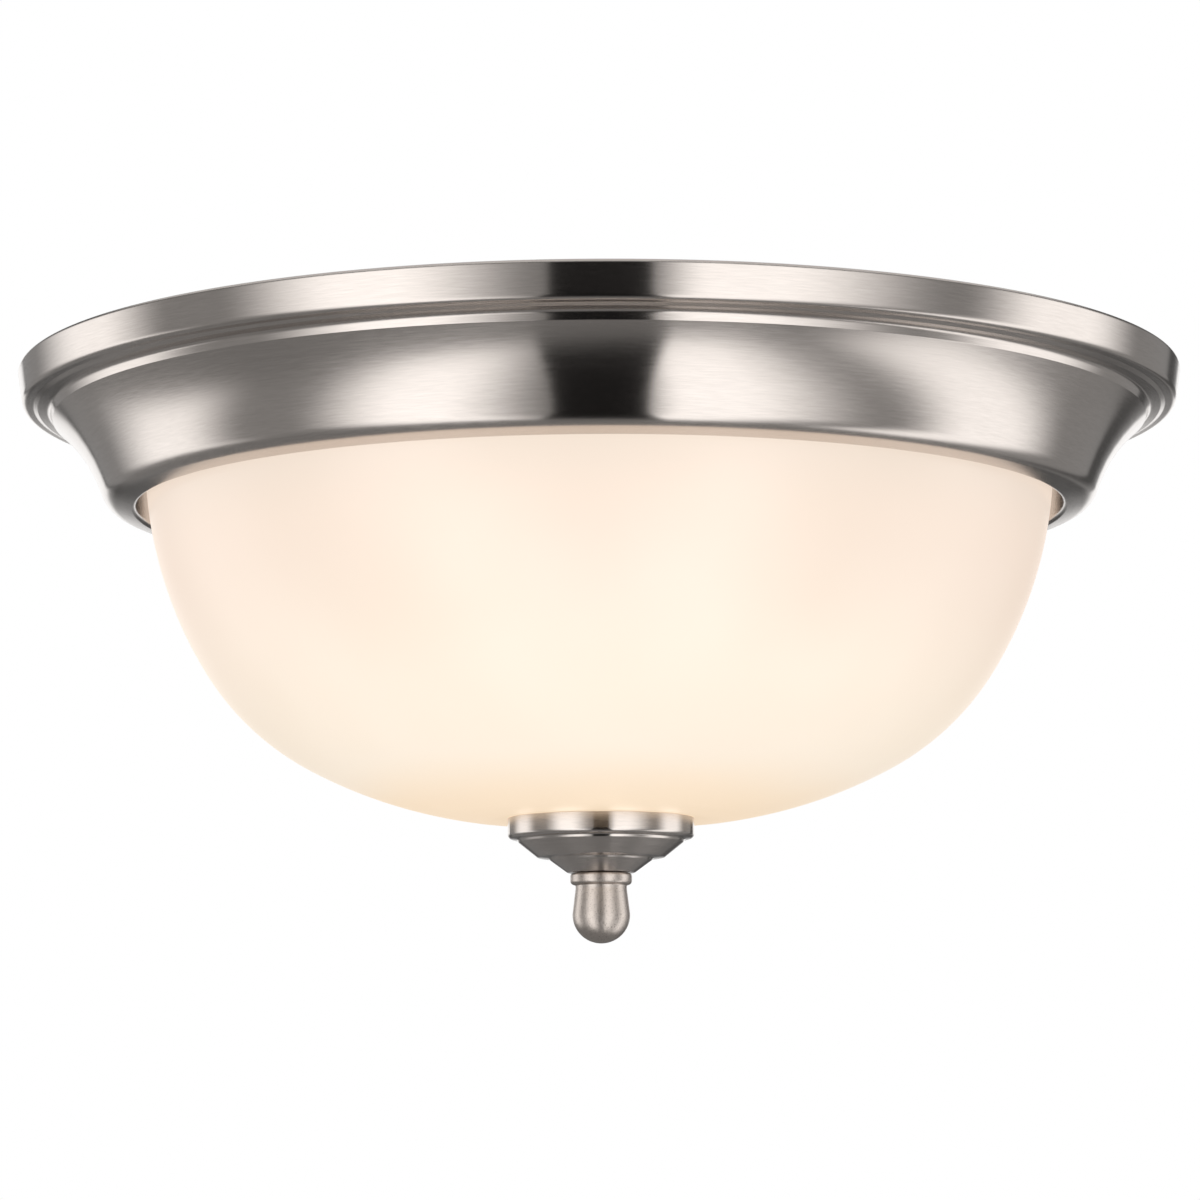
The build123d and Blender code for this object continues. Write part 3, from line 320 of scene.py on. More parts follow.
def turned(name, section, segments, swell=None, sharp_degrees=SHARP_DEGREES):
    """Mesh object of a closed (radius, height) section in mm turned about Z. swell may change
    a point's radius by its angle: it takes and gives mm."""
    rings, corners = [], []
    for radius, height in section:
        if radius < 1e-6:
            rings.append([len(corners)])
            corners.append((0, 0, height * MM))
            continue
        rings.append(list(range(len(corners), len(corners) + segments)))
        for i in range(segments):
            angle = 2 * math.pi * i / segments
            r = (swell(radius, height, angle) if swell else radius) * MM
            corners.append((r * math.cos(angle), r * math.sin(angle), height * MM))
    faces = []
    for one, two in zip(rings, rings[1:] + rings[:1]):
        if len(one) == 1 and len(two) == 1:
            continue
        for i in range(segments):
            j = (i + 1) % segments
            loop = [one[i % len(one)], one[j % len(one)], two[j % len(two)], two[i % len(two)]]
            faces.append([v for k, v in enumerate(loop) if v not in loop[:k]])
    return new_piece(name, corners, faces, sharp_degrees)


def rungs(radius, start, end, step):
    """Points up or down a cylinder, close enough together to carry a thread."""
    count = max(1, round(abs(end - start) / step))
    return [(radius, start + (end - start) * i / count) for i in range(count + 1)]


def thread(major, low, high, pitch, depth):
    """Swell for turned() that cuts a right-hand thread, run out at both ends."""
    def cut(radius, height, angle):
        """Radius in mm of a point of the rod, with its share of the groove taken off."""
        if abs(radius - major) > 1e-6 or not low <= height <= high:
            return radius
        phase = (height / pitch - angle / (2 * math.pi)) % 1.0
        groove = 1 - abs(2 * phase - 1)
        run_out = min(1.0, (height - low) / pitch, (high - height) / pitch)
        return radius - depth * groove * run_out
    return cut


def punch(piece, outlines, low, high):
    """Cut holes of these (x, y) outlines through a piece, between two heights, all in mm."""
    corners, faces = [], []
    for outline in outlines:
        start, count = len(corners), len(outline)
        corners += [(x * MM, y * MM, z * MM) for z in (low, high) for x, y in outline]
        faces.append([start + i for i in range(count)][::-1])
        faces.append([start + count + i for i in range(count)])
        faces += [[start + i, start + (i + 1) % count, start + count + (i + 1) % count,
                   start + count + i] for i in range(count)]
    cutter = new_piece("cutter", corners, faces)
    holes = piece.modifiers.new("holes", "BOOLEAN")
    holes.object, holes.operation, holes.solver = cutter, "DIFFERENCE", "EXACT"
    cut = bpy.data.meshes.new_from_object(
        piece.evaluated_get(bpy.context.evaluated_depsgraph_get()))
    piece.modifiers.clear()
    piece.data = cut
    bpy.data.objects.remove(cutter)
    settle(piece)


def dress(piece, material, body, nodes):
    """Give a piece its finish, and let it stand for CAD nodes on a body."""
    piece.data.materials.clear()
    piece.data.materials.append(material)
    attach(piece, body)
    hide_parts(*nodes)
    return piece


# ================================================================ pan
PAN_RADIUS = 165.0
SHEET = 0.8
FLANGE_HEIGHT = 9.85
DECK_UNDER = -16.8
DECK_OVER = DECK_UNDER + SHEET
INNER_WALL = 131.3
LIP_INNER = (INNER_WALL, -38.45)
COVE_RADIUS = 44.0
COVE_ANGLES = (50.0, 21.5)
COVE_FLAT = 0.4
LIP_SLOPE = 10.0
HEM = 4.0                   # width of the hem turned in against the ceiling
FLANGE_DRAFT = 1.5          # how far the flange leans in down its height
FOLD = Vector((-3.0, -0.2))         # the shelf's outer part, next to the flange
SWAGE = Vector((-1.3, -0.65))       # the small step in the shelf
SHELF = Vector((-3.2, -0.4))        # the shelf's inner part
TIER = Vector((-0.9, -2.35))
PAN_BENDS = [1.0, 1.8, 1.2, 1.2, 1.6, 0.3, COVE_RADIUS, 5.5, 1.2, 2.5]
KEYHOLE_X = 57.15
KEYHOLE_NARROW = 2.38
KEYHOLE_ROUND = 5.0
KEYHOLE_REACH = 11.0
ROD_HOLE = (0, 0, 3.3)              # x, y and radius of the deck's round holes
WIRE_HOLE = (0, 22.0, 11.1)
BOND_HOLE = (30.0, 20.0, 2.05)
BRACKET_SCREWS = [(side * x, -side * 38.0) for side in (-1, 1) for x in (77.2, 86.2)]
BRACKET_HOLE = 2.05


def downward(degrees):
    """Direction of a path whose surface faces this far down from level, going down."""
    turn = math.radians(90 + degrees)
    return Vector((math.cos(turn), -math.sin(turn)))


def meeting(a, way_a, b, way_b):
    """Where two lines in a plane meet."""
    cross = way_a.x * way_b.y - way_a.y * way_b.x
    gap = b - a
    return a + way_a * ((gap.x * way_b.y - gap.y * way_b.x) / cross)


def pan_section():
    """Spun sheet from the hem over flange, shelf, tier, cove and lip, up to the deck."""
    rim, flange = Vector((PAN_RADIUS, 0)), Vector((PAN_RADIUS - FLANGE_DRAFT, -FLANGE_HEIGHT))
    fold = flange + FOLD
    swage = fold + SWAGE
    shelf = swage + SHELF
    tier = shelf + TIER
    half_turn = math.radians(COVE_ANGLES[0] - COVE_ANGLES[1]) / 2
    bend = tier + downward(COVE_ANGLES[0]) * (COVE_RADIUS * math.tan(half_turn) + COVE_FLAT)
    under = Vector((-math.cos(math.radians(LIP_SLOPE)), -math.sin(math.radians(LIP_SLOPE))))
    lip = meeting(bend, downward(COVE_ANGLES[1]), Vector(LIP_INNER), under)
    points = [(PAN_RADIUS - HEM, 0), rim, flange, fold, swage, shelf, tier, bend, lip, LIP_INNER,
              (INNER_WALL, DECK_UNDER), (0, DECK_UNDER)]
    return bent_sheet([tuple(p) for p in points], PAN_BENDS, SHEET)


def keyhole(side):
    """Outline of a keyhole: its round end lies on one side of the mounting screw."""
    join = math.degrees(math.asin(KEYHOLE_NARROW / KEYHOLE_ROUND))
    outline = arc((0, 0), KEYHOLE_NARROW, 0, 180, 12)
    outline += arc((0, -KEYHOLE_REACH), KEYHOLE_ROUND, 90 + join, 450 - join, 9)
    return [(side * (KEYHOLE_X + x), side * y) for x, y in outline]


def round_hole(x, y, radius):
    """Outline of a round hole."""
    return arc((x, y), radius, 0, 360, 9)[:-1]


pan = turned("spun_pan", pan_section(), segments=384)
deck_holes = [round_hole(*hole) for hole in (ROD_HOLE, WIRE_HOLE, BOND_HOLE)]
deck_holes += [keyhole(side) for side in (-1, 1)]
deck_holes += [round_hole(x, y, BRACKET_HOLE) for x, y in BRACKET_SCREWS]
punch(pan, deck_holes, DECK_UNDER - 1, DECK_OVER + 1)
dress(pan, pan_nickel, "root", ["pan"])


# ================================================================ insulation pad
PAD_INNER, PAD_OUTER = 76.0, 129.0
PAD_TOP = DECK_OVER + 8.0
PAD_EDGE = 3.0              # radius of the mat's upper edges
PAD_SQUEEZE = 0.4           # how far its lower edges are pressed in
PAD_RINGS = 24              # steps across its top, for the lumps and tufts
PAD_HOLE = 2.3
LUMP_SIZE, LUMP_DEPTH = 11.0, 1.5
TUFT_SIZE, TUFT_DEPTH = 2.2, 0.5


def pad_section():
    """Cut mat: flat below, its upper edges round and its lower ones pressed in a little."""
    start, end = PAD_INNER + PAD_EDGE, PAD_OUTER - PAD_EDGE
    top = [(start + i * (end - start) / PAD_RINGS, PAD_TOP) for i in range(1, PAD_RINGS)]
    rest = DECK_OVER + 0.2
    inner = [(PAD_INNER + PAD_SQUEEZE, rest)]
    inner += arc((start, PAD_TOP - PAD_EDGE), PAD_EDGE, 180, 90, 18)
    outer = arc((end, PAD_TOP - PAD_EDGE), PAD_EDGE, 90, 0, 18)
    outer += [(PAD_OUTER - PAD_SQUEEZE, rest)]
    return inner + top + outer


def insulation_pad():
    """Ring of fibre mat with the hollows and tufts of a torn fleece, all inside its own space."""
    pad = turned("fibre_pad", pad_section(), segments=300)
    for vertex in pad.data.vertices:
        place = vertex.co / MM
        if place.z < DECK_OVER + 1:
            continue
        lump = 0.5 + 0.5 * noise.fractal(place / LUMP_SIZE, 1.0, 2.1, 3)
        tuft = 0.5 + 0.5 * noise.noise(place / TUFT_SIZE)
        share = (place.z - DECK_OVER) / (PAD_TOP - DECK_OVER)
        vertex.co.z -= (LUMP_DEPTH * lump + TUFT_DEPTH * tuft) * share * MM
    holes = [round_hole(x, y, PAD_HOLE) for x, y in BRACKET_SCREWS]
    punch(pad, holes, DECK_OVER - 1, PAD_TOP + 1)
    return pad


pad = dress(insulation_pad(), fibre_mat, "root", ["insulation_pad"])

# ================================================================ glass bowl
BOWL_NECK = 5.6
BOWL_ARCS = ((116.0, 31.7), (75.5, 62.0), (135.0, 81.5))    # radius, and degrees where it ends
BOWL_WALL = 3.0
BOWL_RIM_ROUND = 0.75
BOWL_RADIUS = 129.0
BOWL_HOLE = 6.5
BOWL_TOP = -17.0


def bowl_face(offset):
    """The bowl's face this far outside its outer one, from the rim down, in mm."""
    point = Vector((BOWL_RADIUS + offset, BOWL_TOP - BOWL_NECK))
    rim = BOWL_RIM_ROUND if offset == 0 else -BOWL_RIM_ROUND
    path = [(point.x - rim, BOWL_TOP), (point.x, BOWL_TOP - BOWL_RIM_ROUND), tuple(point)]
    angle = 0.0
    for radius, end in BOWL_ARCS:
        bend = radius + offset
        turn = math.radians(angle)
        centre = point - Vector((math.cos(turn), -math.sin(turn))) * bend
        path += arc(centre, bend, -angle, -end, 1.5)[1:]
        point = Vector(path[-1])
        angle = end
    return path + [(BOWL_HOLE, point.y)]


bowl = turned("opal_bowl", bowl_face(0) + bowl_face(-BOWL_WALL)[::-1], segments=288)
dress(bowl, lit_opal_glass(), "shade", ["glass_bowl"])

# ================================================================ cap, knob and rod
BOWL_SEAT = bowl_face(0)[-1][1]
CAP_TOP = BOWL_SEAT - 0.2
CAP_RADIUS = 26.4
CAP_SHEET = 1.0
CAP_BAND = CAP_TOP - 5.5            # lower end of the upright band
CAP_FOOT = CAP_BAND - 9.7
# Radius of each corner of the cones and the ledge between them, and its drop under the band.
CAP_STEPS = ((23.7, 0.4), (23.3, 1.2), (18.0, 5.4), (14.8, 5.7), (14.3, 6.3))
CAP_BENDS = [1.3, 0.5, 0.5, 0.9, 0.3, 0.4, 0.4]
FOOT_RADIUS = 9.6
KNOB_TOP = CAP_FOOT - 0.2
COLLAR_RADIUS, COLLAR_HEIGHT = 8.7, 3.3
NECK_RADIUS, NECK_HEIGHT = 7.25, 1.1
BULLET_RADIUS, BULLET_TAPER = 8.13, 7.2
ROD_RADIUS = 3.0
ROD_CHAMFER = 0.6
ROD_PITCH = 1.0
ROD_GROOVE = 0.5
ROD_LOW = KNOB_TOP - 9.5
ROD_HIGH = DECK_OVER + 6.5
TAP_RADIUS = 3.05
TAP_DEPTH = 10.7


def cap_section():
    """Turned cap from its upright band over two cones to the foot."""
    points = [(CAP_RADIUS, CAP_TOP), (CAP_RADIUS, CAP_BAND)]
    points += [(radius, CAP_BAND - drop) for radius, drop in CAP_STEPS]
    points += [(FOOT_RADIUS, CAP_FOOT), (ROD_HOLE[2], CAP_FOOT)]
    return bent_sheet(points, CAP_BENDS, CAP_SHEET)


def knob_section():
    """Cast knob: collar, neck and bullet, with its tapped hole."""
    collar = KNOB_TOP - COLLAR_HEIGHT
    neck = collar - NECK_HEIGHT
    body = neck - BULLET_TAPER
    floor = KNOB_TOP - TAP_DEPTH
    upper = [(TAP_RADIUS, KNOB_TOP), (COLLAR_RADIUS, KNOB_TOP), (COLLAR_RADIUS, collar),
             (NECK_RADIUS, collar), (NECK_RADIUS, neck), (BULLET_RADIUS, body)]
    bullet = arc((0, body), BULLET_RADIUS, 0, -90, 5)[1:-1] + [(0, body - BULLET_RADIUS)]
    return [(0, floor), (TAP_RADIUS, floor)] + rounded(upper, [0.9, 1.2, 0.4, 0.4]) + bullet


def rod_section():
    """Rod with a chamfer at each end, close in rings for its thread."""
    end = ROD_RADIUS - ROD_CHAMFER
    return ([(0, ROD_HIGH), (end, ROD_HIGH)]
            + rungs(ROD_RADIUS, ROD_HIGH - ROD_CHAMFER, ROD_LOW + ROD_CHAMFER, ROD_PITCH / 4)
            + [(end, ROD_LOW), (0, ROD_LOW)])


cap = turned("finial_cap", cap_section(), segments=192)
dress(cap, cap_nickel, "cup", ["finial_cup"])
knob = turned("cast_knob", knob_section(), segments=128)
dress(knob, cast_nickel, "knob", ["finial_knob"])
rod_thread = thread(ROD_RADIUS, ROD_LOW + ROD_CHAMFER, ROD_HIGH - ROD_CHAMFER, ROD_PITCH, ROD_GROOVE)
rod = turned("threaded_rod", rod_section(), segments=28, swell=rod_thread, sharp_degrees=60)
dress(rod, zinc_plate, "root", ["centre_rod"])

# ================================================================ nuts
NUT_FLATS = 10.0
NUT_HEIGHT = 5.0
NUT_FACE = 4.75     # radius of the round face that the chamfer leaves on a nut
NUT_CHAMFER = math.tan(math.radians(30))
WASHER = 1.2


def hexagon(angle):
    """Radius of the nut's hexagon in mm, a corner on the X axis."""
    return NUT_FLATS / 2 / math.cos(angle % (math.pi / 3) - math.pi / 6)


def nut_shape(bottoms):
    """Hexagon nuts with both faces chamfered, as one piece."""
    segments = 96
    corners, faces = [], []
    for bottom in bottoms:
        start = len(corners)
        for ring in range(6):
            for i in range(segments):
                angle = 2 * math.pi * i / segments
                wide = hexagon(angle)
                drop = (wide - NUT_FACE) * NUT_CHAMFER
                radius = (TAP_RADIUS, NUT_FACE, wide, wide, NUT_FACE, TAP_RADIUS)[ring]
                height = (0, 0, drop, NUT_HEIGHT - drop, NUT_HEIGHT, NUT_HEIGHT)[ring]
                corners.append((radius * MM * math.cos(angle), radius * MM * math.sin(angle),
                                (bottom + height) * MM))
        for ring in range(6):
            one, two = start + ring * segments, start + (ring + 1) % 6 * segments
            faces += [[one + i, one + (i + 1) % segments, two + (i + 1) % segments, two + i]
                      for i in range(segments)]
    return new_piece("hexagon_nuts", corners, faces, sharp_degrees=25)


nuts = nut_shape([DECK_OVER, DECK_UNDER - WASHER - NUT_HEIGHT])
dress(nuts, zinc_plate, "root", ["rod_nuts"])

# ================================================================ bulbs
# A lamp's own Z runs along its axis, from the socket out to the bulb's end.
LAMP = Matrix.Translation((-0.070, 0.038, -0.056)) @ Matrix.Rotation(math.radians(90), 4, "Y")
LAMPS = {"a": LAMP, "b": Matrix.Rotation(math.pi, 4, "Z") @ LAMP}
BASE_LOW, BASE_HIGH = 21.8, 43.8
BASE_RADIUS = 13.0
BASE_HOLE = 10.9
BASE_THREAD = 3.63          # pitch of a medium screw base
BASE_GROOVE = 0.7
THREAD_HIGH, THREAD_LOW = BASE_HIGH - 1.2, BASE_LOW + 1.0
THREAD_RUN_OUT = 1.5
BULB_CENTRE = 93.3
BULB_RADIUS = 30.0
BULB_NECK = 13.4
BULB_FLARE = 45.0
BULB_GLASS = 0.8


def bulb_outline(offset):
    """Envelope from its round end to its neck, this far outside its outer face."""
    flare, end = BULB_FLARE - offset, BULB_RADIUS + offset
    middle = BULB_NECK + offset + flare
    rise = math.sqrt((end + flare) ** 2 - middle ** 2)
    angle = math.degrees(math.atan2(-rise, middle))
    return (arc((0, BULB_CENTRE), end, 90, angle)[1:]
            + arc((middle, BULB_CENTRE - rise), flare, 180 + angle, 180)[1:]
            + [(BULB_NECK + offset, BASE_HIGH)])


def envelope_section():
    """Closed section of the blown envelope, open at its neck."""
    top = BULB_CENTRE + BULB_RADIUS
    return ([(0, top)] + bulb_outline(0) + bulb_outline(-BULB_GLASS)[::-1] + [(0, top - BULB_GLASS)])


def base_section():
    """Screw base: a rolled rim at the glass, the thread, and the edge by the insulator."""
    valley = BASE_RADIUS - BASE_GROOVE
    rim = valley + 0.2
    return ([(BASE_HOLE, BASE_HIGH), (rim, BASE_HIGH), (rim, BASE_HIGH - 0.8)]
            + rungs(BASE_RADIUS, THREAD_HIGH, THREAD_LOW, 0.3)
            + [(valley, BASE_LOW + 0.4), (valley - 0.6, BASE_LOW), (BASE_HOLE, BASE_LOW)])


def rolled_thread(radius, height, angle):
    """A bulb's thread is rolled in thin sheet, so its crests and valleys are both round."""
    if abs(radius - BASE_RADIUS) > 1e-6:
        return radius
    wave = 0.5 + 0.5 * math.cos(2 * math.pi * (height / BASE_THREAD) - angle)
    ends = min(1.0, (height - THREAD_LOW) / THREAD_RUN_OUT, (THREAD_HIGH - height) / THREAD_RUN_OUT)
    return radius - BASE_GROOVE + BASE_GROOVE * wave * max(0.0, ends)


for lamp, place in LAMPS.items():
    envelope = turned(f"frosted_envelope_{lamp}", envelope_section(), segments=144)
    envelope.data.transform(place)
    dress(envelope, frosted_bulb, f"bulb_{lamp}", [f"bulb_envelope_{lamp}"])
    base = turned(f"screw_base_{lamp}", base_section(), segments=96, swell=rolled_thread,
                  sharp_degrees=50)
    base.data.transform(place)
    dress(base, rolled_aluminium, f"bulb_{lamp}", [f"bulb_base_{lamp}"])

# ================================================================ CAD pieces that stay
CAD_FINISHES = {
    "crossbar": zinc_plate, "mounting_screws": zinc_plate, "bracket_screws": zinc_plate,
    "bond_screw": zinc_plate, "rod_washer": zinc_plate, "ground_screw": green_zinc,
    "bond_terminal": spring_brass, "wire_bushing": black_nylon, "wire_connectors": orange_plastic,
    "socket_rivets": rolled_aluminium, "cup_gasket": gasket_rubber, "ground_lead": green_vinyl,
}
for lamp in LAMPS:
    CAD_FINISHES.update({
        f"socket_bracket_{lamp}": zinc_plate, f"socket_body_{lamp}": porcelain,
        f"socket_shell_{lamp}": rolled_aluminium, f"centre_contact_{lamp}": spring_brass,
        f"bulb_tip_{lamp}": solder, f"bulb_insulator_{lamp}": black_glass,
        f"bulb_stem_{lamp}": stem_glass, f"bulb_filament_{lamp}": tungsten,
        f"lead_black_{lamp}": black_vinyl, f"lead_white_{lamp}": white_vinyl,
    })
for name, material in CAD_FINISHES.items():
    for holder in NODES[name].material_slots:
        holder.material = material

# ================================================================ studio
CAMERA_DISTANCE = 1.1453
CAMERA_BELOW = 7.69         # degrees under level that the camera stands
CAMERA_TARGET_Z = -0.0627
CAMERA_ROLL = -0.24
CAMERA_LENS = 120.75
DOME_RADIUS = 2.0
# Cards and flags round the light as its metal sees them. Azimuths in degrees from the camera, to
# the right: where the card starts, is full from, is full to, and ends; then its level.
CARDS = (
    (-152, -151.5, -150.5, -149.5, 0.04),   # left black edge of the backdrop
    (-139, -114, -107, -86, 1.40),          # left side card
    (-74, -47, -38, -10, 1.60),             # left key card
    (8, 20, 32, 68, 1.55),                  # right key card
    (70, 91, 103, 124, 1.42),               # right side card
    (143, 144.5, 149, 157, 0.08),           # right black edge of the backdrop
)
BETWEEN_CARDS = 0.28
BACKDROP_EDGES = (-151.92, 156.6)       # azimuths beyond which the backdrop stands
BACKDROP_SOFTNESS = 0.36
# The gap's sides and all heights are shares of the dome's radius. The pairs are heights with their
# levels, or with the share of what lies higher up that shows there.
GAP = (-0.155, 0.165)                   # sides of the black gap where the camera stands
GAP_SOFTNESS = 0.01
GAP_TONE = 0.01
NADIR_TONE = 0.21
BACKDROP = ((-1.0, NADIR_TONE), (-0.6, 0.12), (-0.22, 0.09), (-0.14, 0.3), (-0.06, 1.1))
CARD_FOOT = (0.20, -0.45, 1.0)          # up from the leaning plane where the cards begin
FOOT_FADE = ((-0.83, 0), (-0.71, 1))
OVERHEAD_FADE = ((0.2, 0), (0.4, 1))
CEILING = ((0.48, 0.12), (0.68, 0.7))
LAMP_DISTANCE = 2.2
LAMP_SIZE = 1.2
WORLD_LEVEL = 0.45


def set_camera():
    """Camera fitted to the photo, in front of the light and a little under it."""
    data = bpy.data.cameras.new("camera")
    data.lens = CAMERA_LENS
    data.sensor_width = 36.0
    camera = bpy.data.objects.new("camera", data)
    bpy.context.scene.collection.objects.link(camera)
    tilt = math.radians(CAMERA_BELOW)
    camera.location = (0, -CAMERA_DISTANCE * math.cos(tilt),
                       CAMERA_TARGET_Z - CAMERA_DISTANCE * math.sin(tilt))
    aim = Matrix.Rotation(math.radians(90) + tilt, 4, "X")
    roll = Matrix.Rotation(math.radians(CAMERA_ROLL), 4, "Z")
    camera.rotation_euler = (aim @ roll).to_euler()
    bpy.context.scene.camera = camera


def grey(level):
    """Neutral colour of a linear level."""
    return (level, level, level, 1)


def fades(reach, levels):
    """Ramp stops for (value, level) pairs, whose values run from -reach to reach."""
    return [(0.5 + value / (2 * reach), grey(level)) for value, level in levels]


def studio_dome():
    """Sphere round the scene that shows in reflections alone."""
    mesh = bpy.data.meshes.new("studio_dome")
    work = bmesh.new()
    bmesh.ops.create_uvsphere(work, u_segments=64, v_segments=32, radius=DOME_RADIUS)
    work.to_mesh(mesh)
    work.free()
    dome = bpy.data.objects.new("studio_dome", mesh)
    bpy.context.scene.collection.objects.link(dome)
    dome.visible_camera = dome.visible_diffuse = dome.visible_shadow = False
    dome.visible_transmission = dome.visible_volume_scatter = False
    return dome


def side_cards(tree, axes, azimuth):
    """Colour of the cards all round, with the black gap of even width between the key cards."""
    levels = [(-180, BETWEEN_CARDS)]
    for start, full_from, full_to, end, level in CARDS:
        levels += [(start, BETWEEN_CARDS), (full_from, level), (full_to, level), (end, BETWEEN_CARDS)]
    levels.append((180, BETWEEN_CARDS))
    cards = add(tree, "ShaderNodeValToRGB", None, {"Fac": azimuth}, fades(180, levels), True)
    across = add(tree, "ShaderNodeMapRange", None, {
        "Value": axes.outputs["X"], "From Min": -DOME_RADIUS / 2, "From Max": DOME_RADIUS / 2})
    left, right = GAP
    slot = add(tree, "ShaderNodeValToRGB", None, {"Fac": across.outputs[0]}, fades(0.5, [
        (left - GAP_SOFTNESS, 0), (left + GAP_SOFTNESS, 1),
        (right - GAP_SOFTNESS, 1), (right + GAP_SOFTNESS, 0)]), True)
    front = add(tree, "ShaderNodeMath", {"operation": "LESS_THAN"}, {0: axes.outputs["Y"], 1: 0.0})
    gap = add(tree, "ShaderNodeMath", {"operation": "MULTIPLY"},
              {0: slot.outputs[0], 1: front.outputs[0]})
    return add(tree, "ShaderNodeMix", {"data_type": "RGBA"},
               {0: gap.outputs[0], 6: cards.outputs[0], 7: grey(GAP_TONE)}).outputs[2]


def with_backdrop(tree, sides, azimuth, height):
    """The sides' colour with the white backdrop behind the light, dark towards the floor."""
    backdrop = add(tree, "ShaderNodeValToRGB", None, {"Fac": height}, fades(1, BACKDROP))
    left, right = BACKDROP_EDGES
    behind = add(tree, "ShaderNodeValToRGB", None, {"Fac": azimuth}, fades(180, [
        (-180, 1), (left - BACKDROP_SOFTNESS, 1), (left + BACKDROP_SOFTNESS, 0),
        (right - BACKDROP_SOFTNESS, 0), (right + BACKDROP_SOFTNESS, 1), (180, 1)]))
    return add(tree, "ShaderNodeMix", {"data_type": "RGBA"},
               {0: behind.outputs[0], 6: sides, 7: backdrop.outputs[0]}).outputs[2]


def with_floor_and_ceiling(tree, sides, place, height):
    """The sides' colour with the dim floor below and a dim ring overhead, lighter at its top."""
    foot = add(tree, "ShaderNodeVectorMath", {"operation": "DOT_PRODUCT"},
               {0: place, 1: CARD_FOOT})
    rise = add(tree, "ShaderNodeMapRange", None, {
        "Value": foot.outputs["Value"], "From Min": -DOME_RADIUS, "From Max": DOME_RADIUS})
    above = add(tree, "ShaderNodeValToRGB", None, {"Fac": rise.outputs[0]}, fades(1, FOOT_FADE), True)
    lower = add(tree, "ShaderNodeMix", {"data_type": "RGBA"},
                {0: above.outputs[0], 6: grey(NADIR_TONE), 7: sides})
    overhead = add(tree, "ShaderNodeValToRGB", None, {"Fac": height}, fades(1, OVERHEAD_FADE), True)
    ceiling = add(tree, "ShaderNodeValToRGB", None, {"Fac": height}, fades(1, CEILING), True)
    return add(tree, "ShaderNodeMix", {"data_type": "RGBA"},
               {0: overhead.outputs[0], 6: lower.outputs[2], 7: ceiling.outputs[0]}).outputs[2]


def studio_cards():
    """The dome that metal reflects: soft cards with flags between them, the black gap where the
    camera stands, the white backdrop behind, the dim floor and the dim ring overhead."""
    dome = studio_dome()
    material = bpy.data.materials.new("studio_cards")
    material.use_nodes = True
    tree = material.node_tree
    tree.nodes.clear()
    place = add(tree, "ShaderNodeTexCoord").outputs["Object"]
    axes = add(tree, "ShaderNodeSeparateXYZ", inputs={0: place})
    toward = add(tree, "ShaderNodeMath", {"operation": "MULTIPLY"}, {0: axes.outputs["Y"], 1: -1.0})
    bearing = add(tree, "ShaderNodeMath", {"operation": "ARCTAN2"},
                  {0: axes.outputs["X"], 1: toward.outputs[0]})
    azimuth = add(tree, "ShaderNodeMapRange", None, {
        "Value": bearing.outputs[0], "From Min": -math.pi, "From Max": math.pi}).outputs[0]
    height = add(tree, "ShaderNodeMapRange", None, {
        "Value": axes.outputs["Z"], "From Min": -DOME_RADIUS, "From Max": DOME_RADIUS}).outputs[0]
    colour = side_cards(tree, axes, azimuth)
    colour = with_backdrop(tree, colour, azimuth, height)
    colour = with_floor_and_ceiling(tree, colour, place, height)
    light = add(tree, "ShaderNodeEmission", None, {"Color": colour, "Strength": 1.0})
    add(tree, "ShaderNodeOutputMaterial", inputs={"Surface": light.outputs[0]})
    dome.data.materials.append(material)


def soft_light(name, azimuth, elevation, power):
    """Large soft lamp aimed at the light; its reflection is left to the studio's cards."""
    data = bpy.data.lights.new(name, "AREA")
    data.shape = "DISK"
    data.size = LAMP_SIZE
    data.energy = power
    lamp = bpy.data.objects.new(name, data)
    bpy.context.scene.collection.objects.link(lamp)
    a, e = math.radians(azimuth), math.radians(elevation)
    away = Vector((math.sin(a) * math.cos(e), -math.cos(a) * math.cos(e), math.sin(e)))
    lamp.location = Vector((0, 0, CAMERA_TARGET_Z)) + away * LAMP_DISTANCE
    lamp.rotation_euler = away.to_track_quat("Z", "Y").to_euler()
    lamp.visible_glossy = False


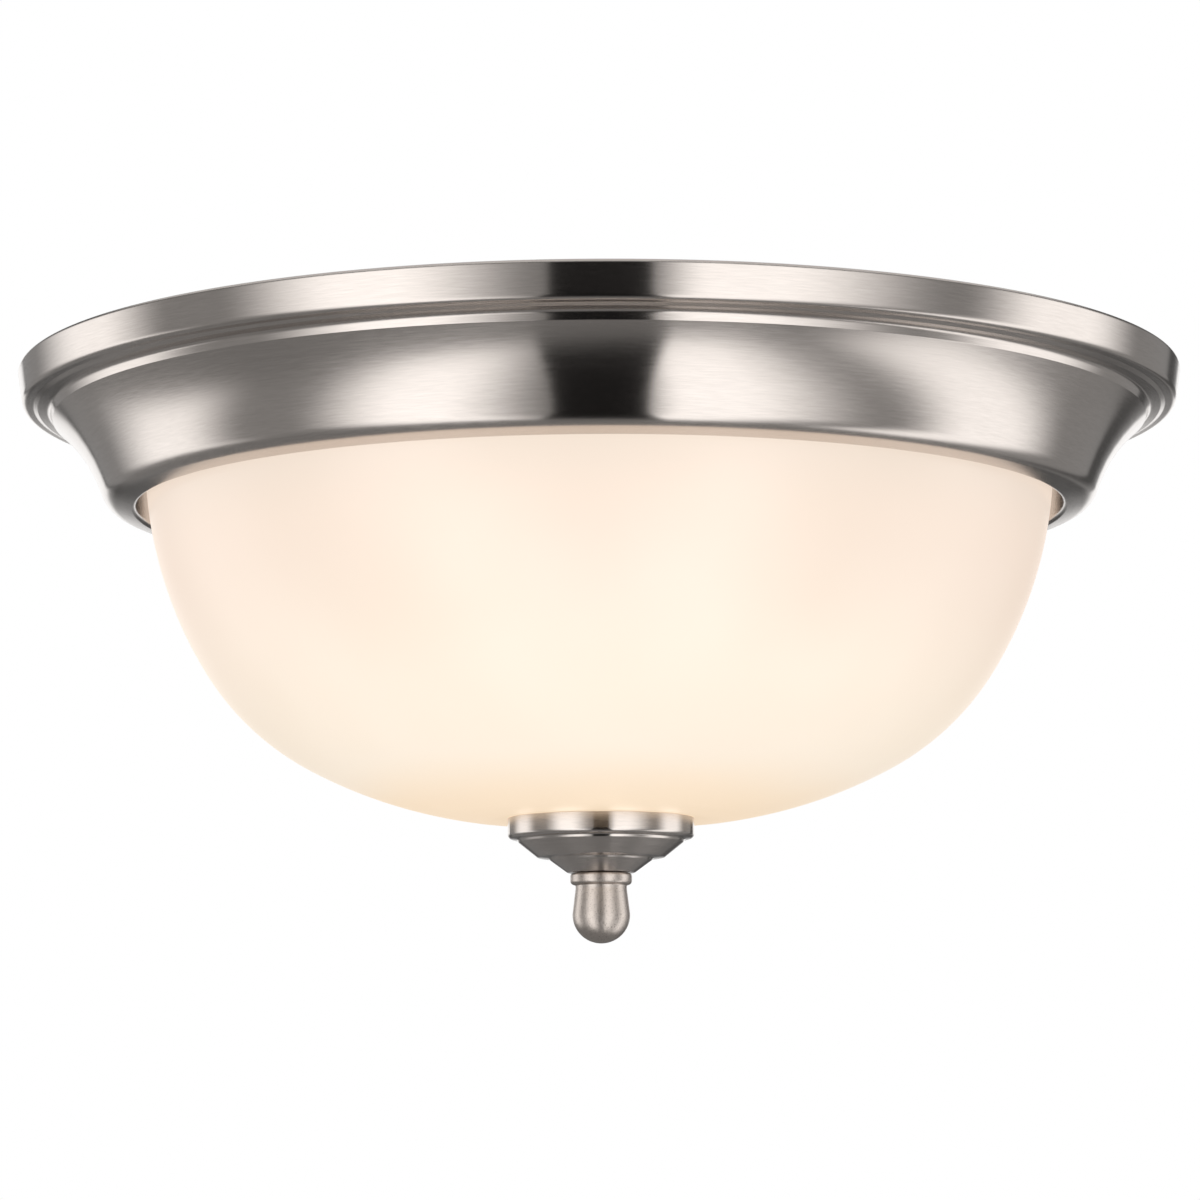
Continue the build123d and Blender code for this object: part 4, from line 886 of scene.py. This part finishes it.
def pale_floor():
    """Plain pale floor of a hall, a storey below the ceiling; a little paler to the eye alone."""
    mesh = bpy.data.meshes.new("floor")
    side, depth = 60.0, -2.4
    mesh.from_pydata([(-side, -side, depth), (side, -side, depth), (side, side, depth),
                      (-side, side, depth)], [], [(0, 1, 2, 3)])
    floor = bpy.data.objects.new("floor", mesh)
    bpy.context.scene.collection.objects.link(floor)
    material, tree, shader = new_material("pale_floor", **{
        "Roughness": 0.8, "Emission Color": tone("F8F7F6")})
    path = add(tree, "ShaderNodeLightPath")
    glow_to_eye = add(tree, "ShaderNodeMapRange", None,
                      {"Value": path.outputs["Is Camera Ray"], "To Min": 0.0, "To Max": 0.42})
    tree.links.new(glow_to_eye.outputs[0], shader.inputs["Emission Strength"])
    place = add(tree, "ShaderNodeTexCoord").outputs["Object"]
    fleck = add(tree, "ShaderNodeTexNoise", None, {"Vector": place, "Scale": 3.0})
    colour = add(tree, "ShaderNodeValToRGB", None, {"Fac": fleck.outputs["Fac"]},
                 [(0.3, tone("F4F3F1")), (0.7, tone("F8F7F6"))])
    tree.links.new(colour.outputs[0], shader.inputs["Base Color"])
    mesh.materials.append(material)


def white_world():
    """White to the eye, to metal and to glass; a plain level as light."""
    world = bpy.data.worlds.new("white_world")
    bpy.context.scene.world = world
    world.use_nodes = True
    tree = world.node_tree
    tree.nodes.clear()
    path = add(tree, "ShaderNodeLightPath")
    seen = add(tree, "ShaderNodeMath", {"operation": "MAXIMUM"},
               {0: path.outputs["Is Camera Ray"], 1: path.outputs["Is Glossy Ray"]})
    seen = add(tree, "ShaderNodeMath", {"operation": "MAXIMUM"},
               {0: seen.outputs[0], 1: path.outputs["Is Transmission Ray"]})
    strength = add(tree, "ShaderNodeMapRange", None,
                   {"Value": seen.outputs[0], "To Min": WORLD_LEVEL, "To Max": 1.0})
    light = add(tree, "ShaderNodeBackground", None,
                {"Color": (1, 1, 1, 1), "Strength": strength.outputs[0]})
    add(tree, "ShaderNodeOutputWorld", inputs={"Surface": light.outputs[0]})


set_camera()
studio_cards()
pale_floor()
white_world()
soft_light("key_left", azimuth=-35, elevation=-25, power=26)
soft_light("key_right", azimuth=35, elevation=-25, power=22)
soft_light("top_back", azimuth=160, elevation=50, power=18)
bpy.context.scene.view_settings.view_transform = "Standard"
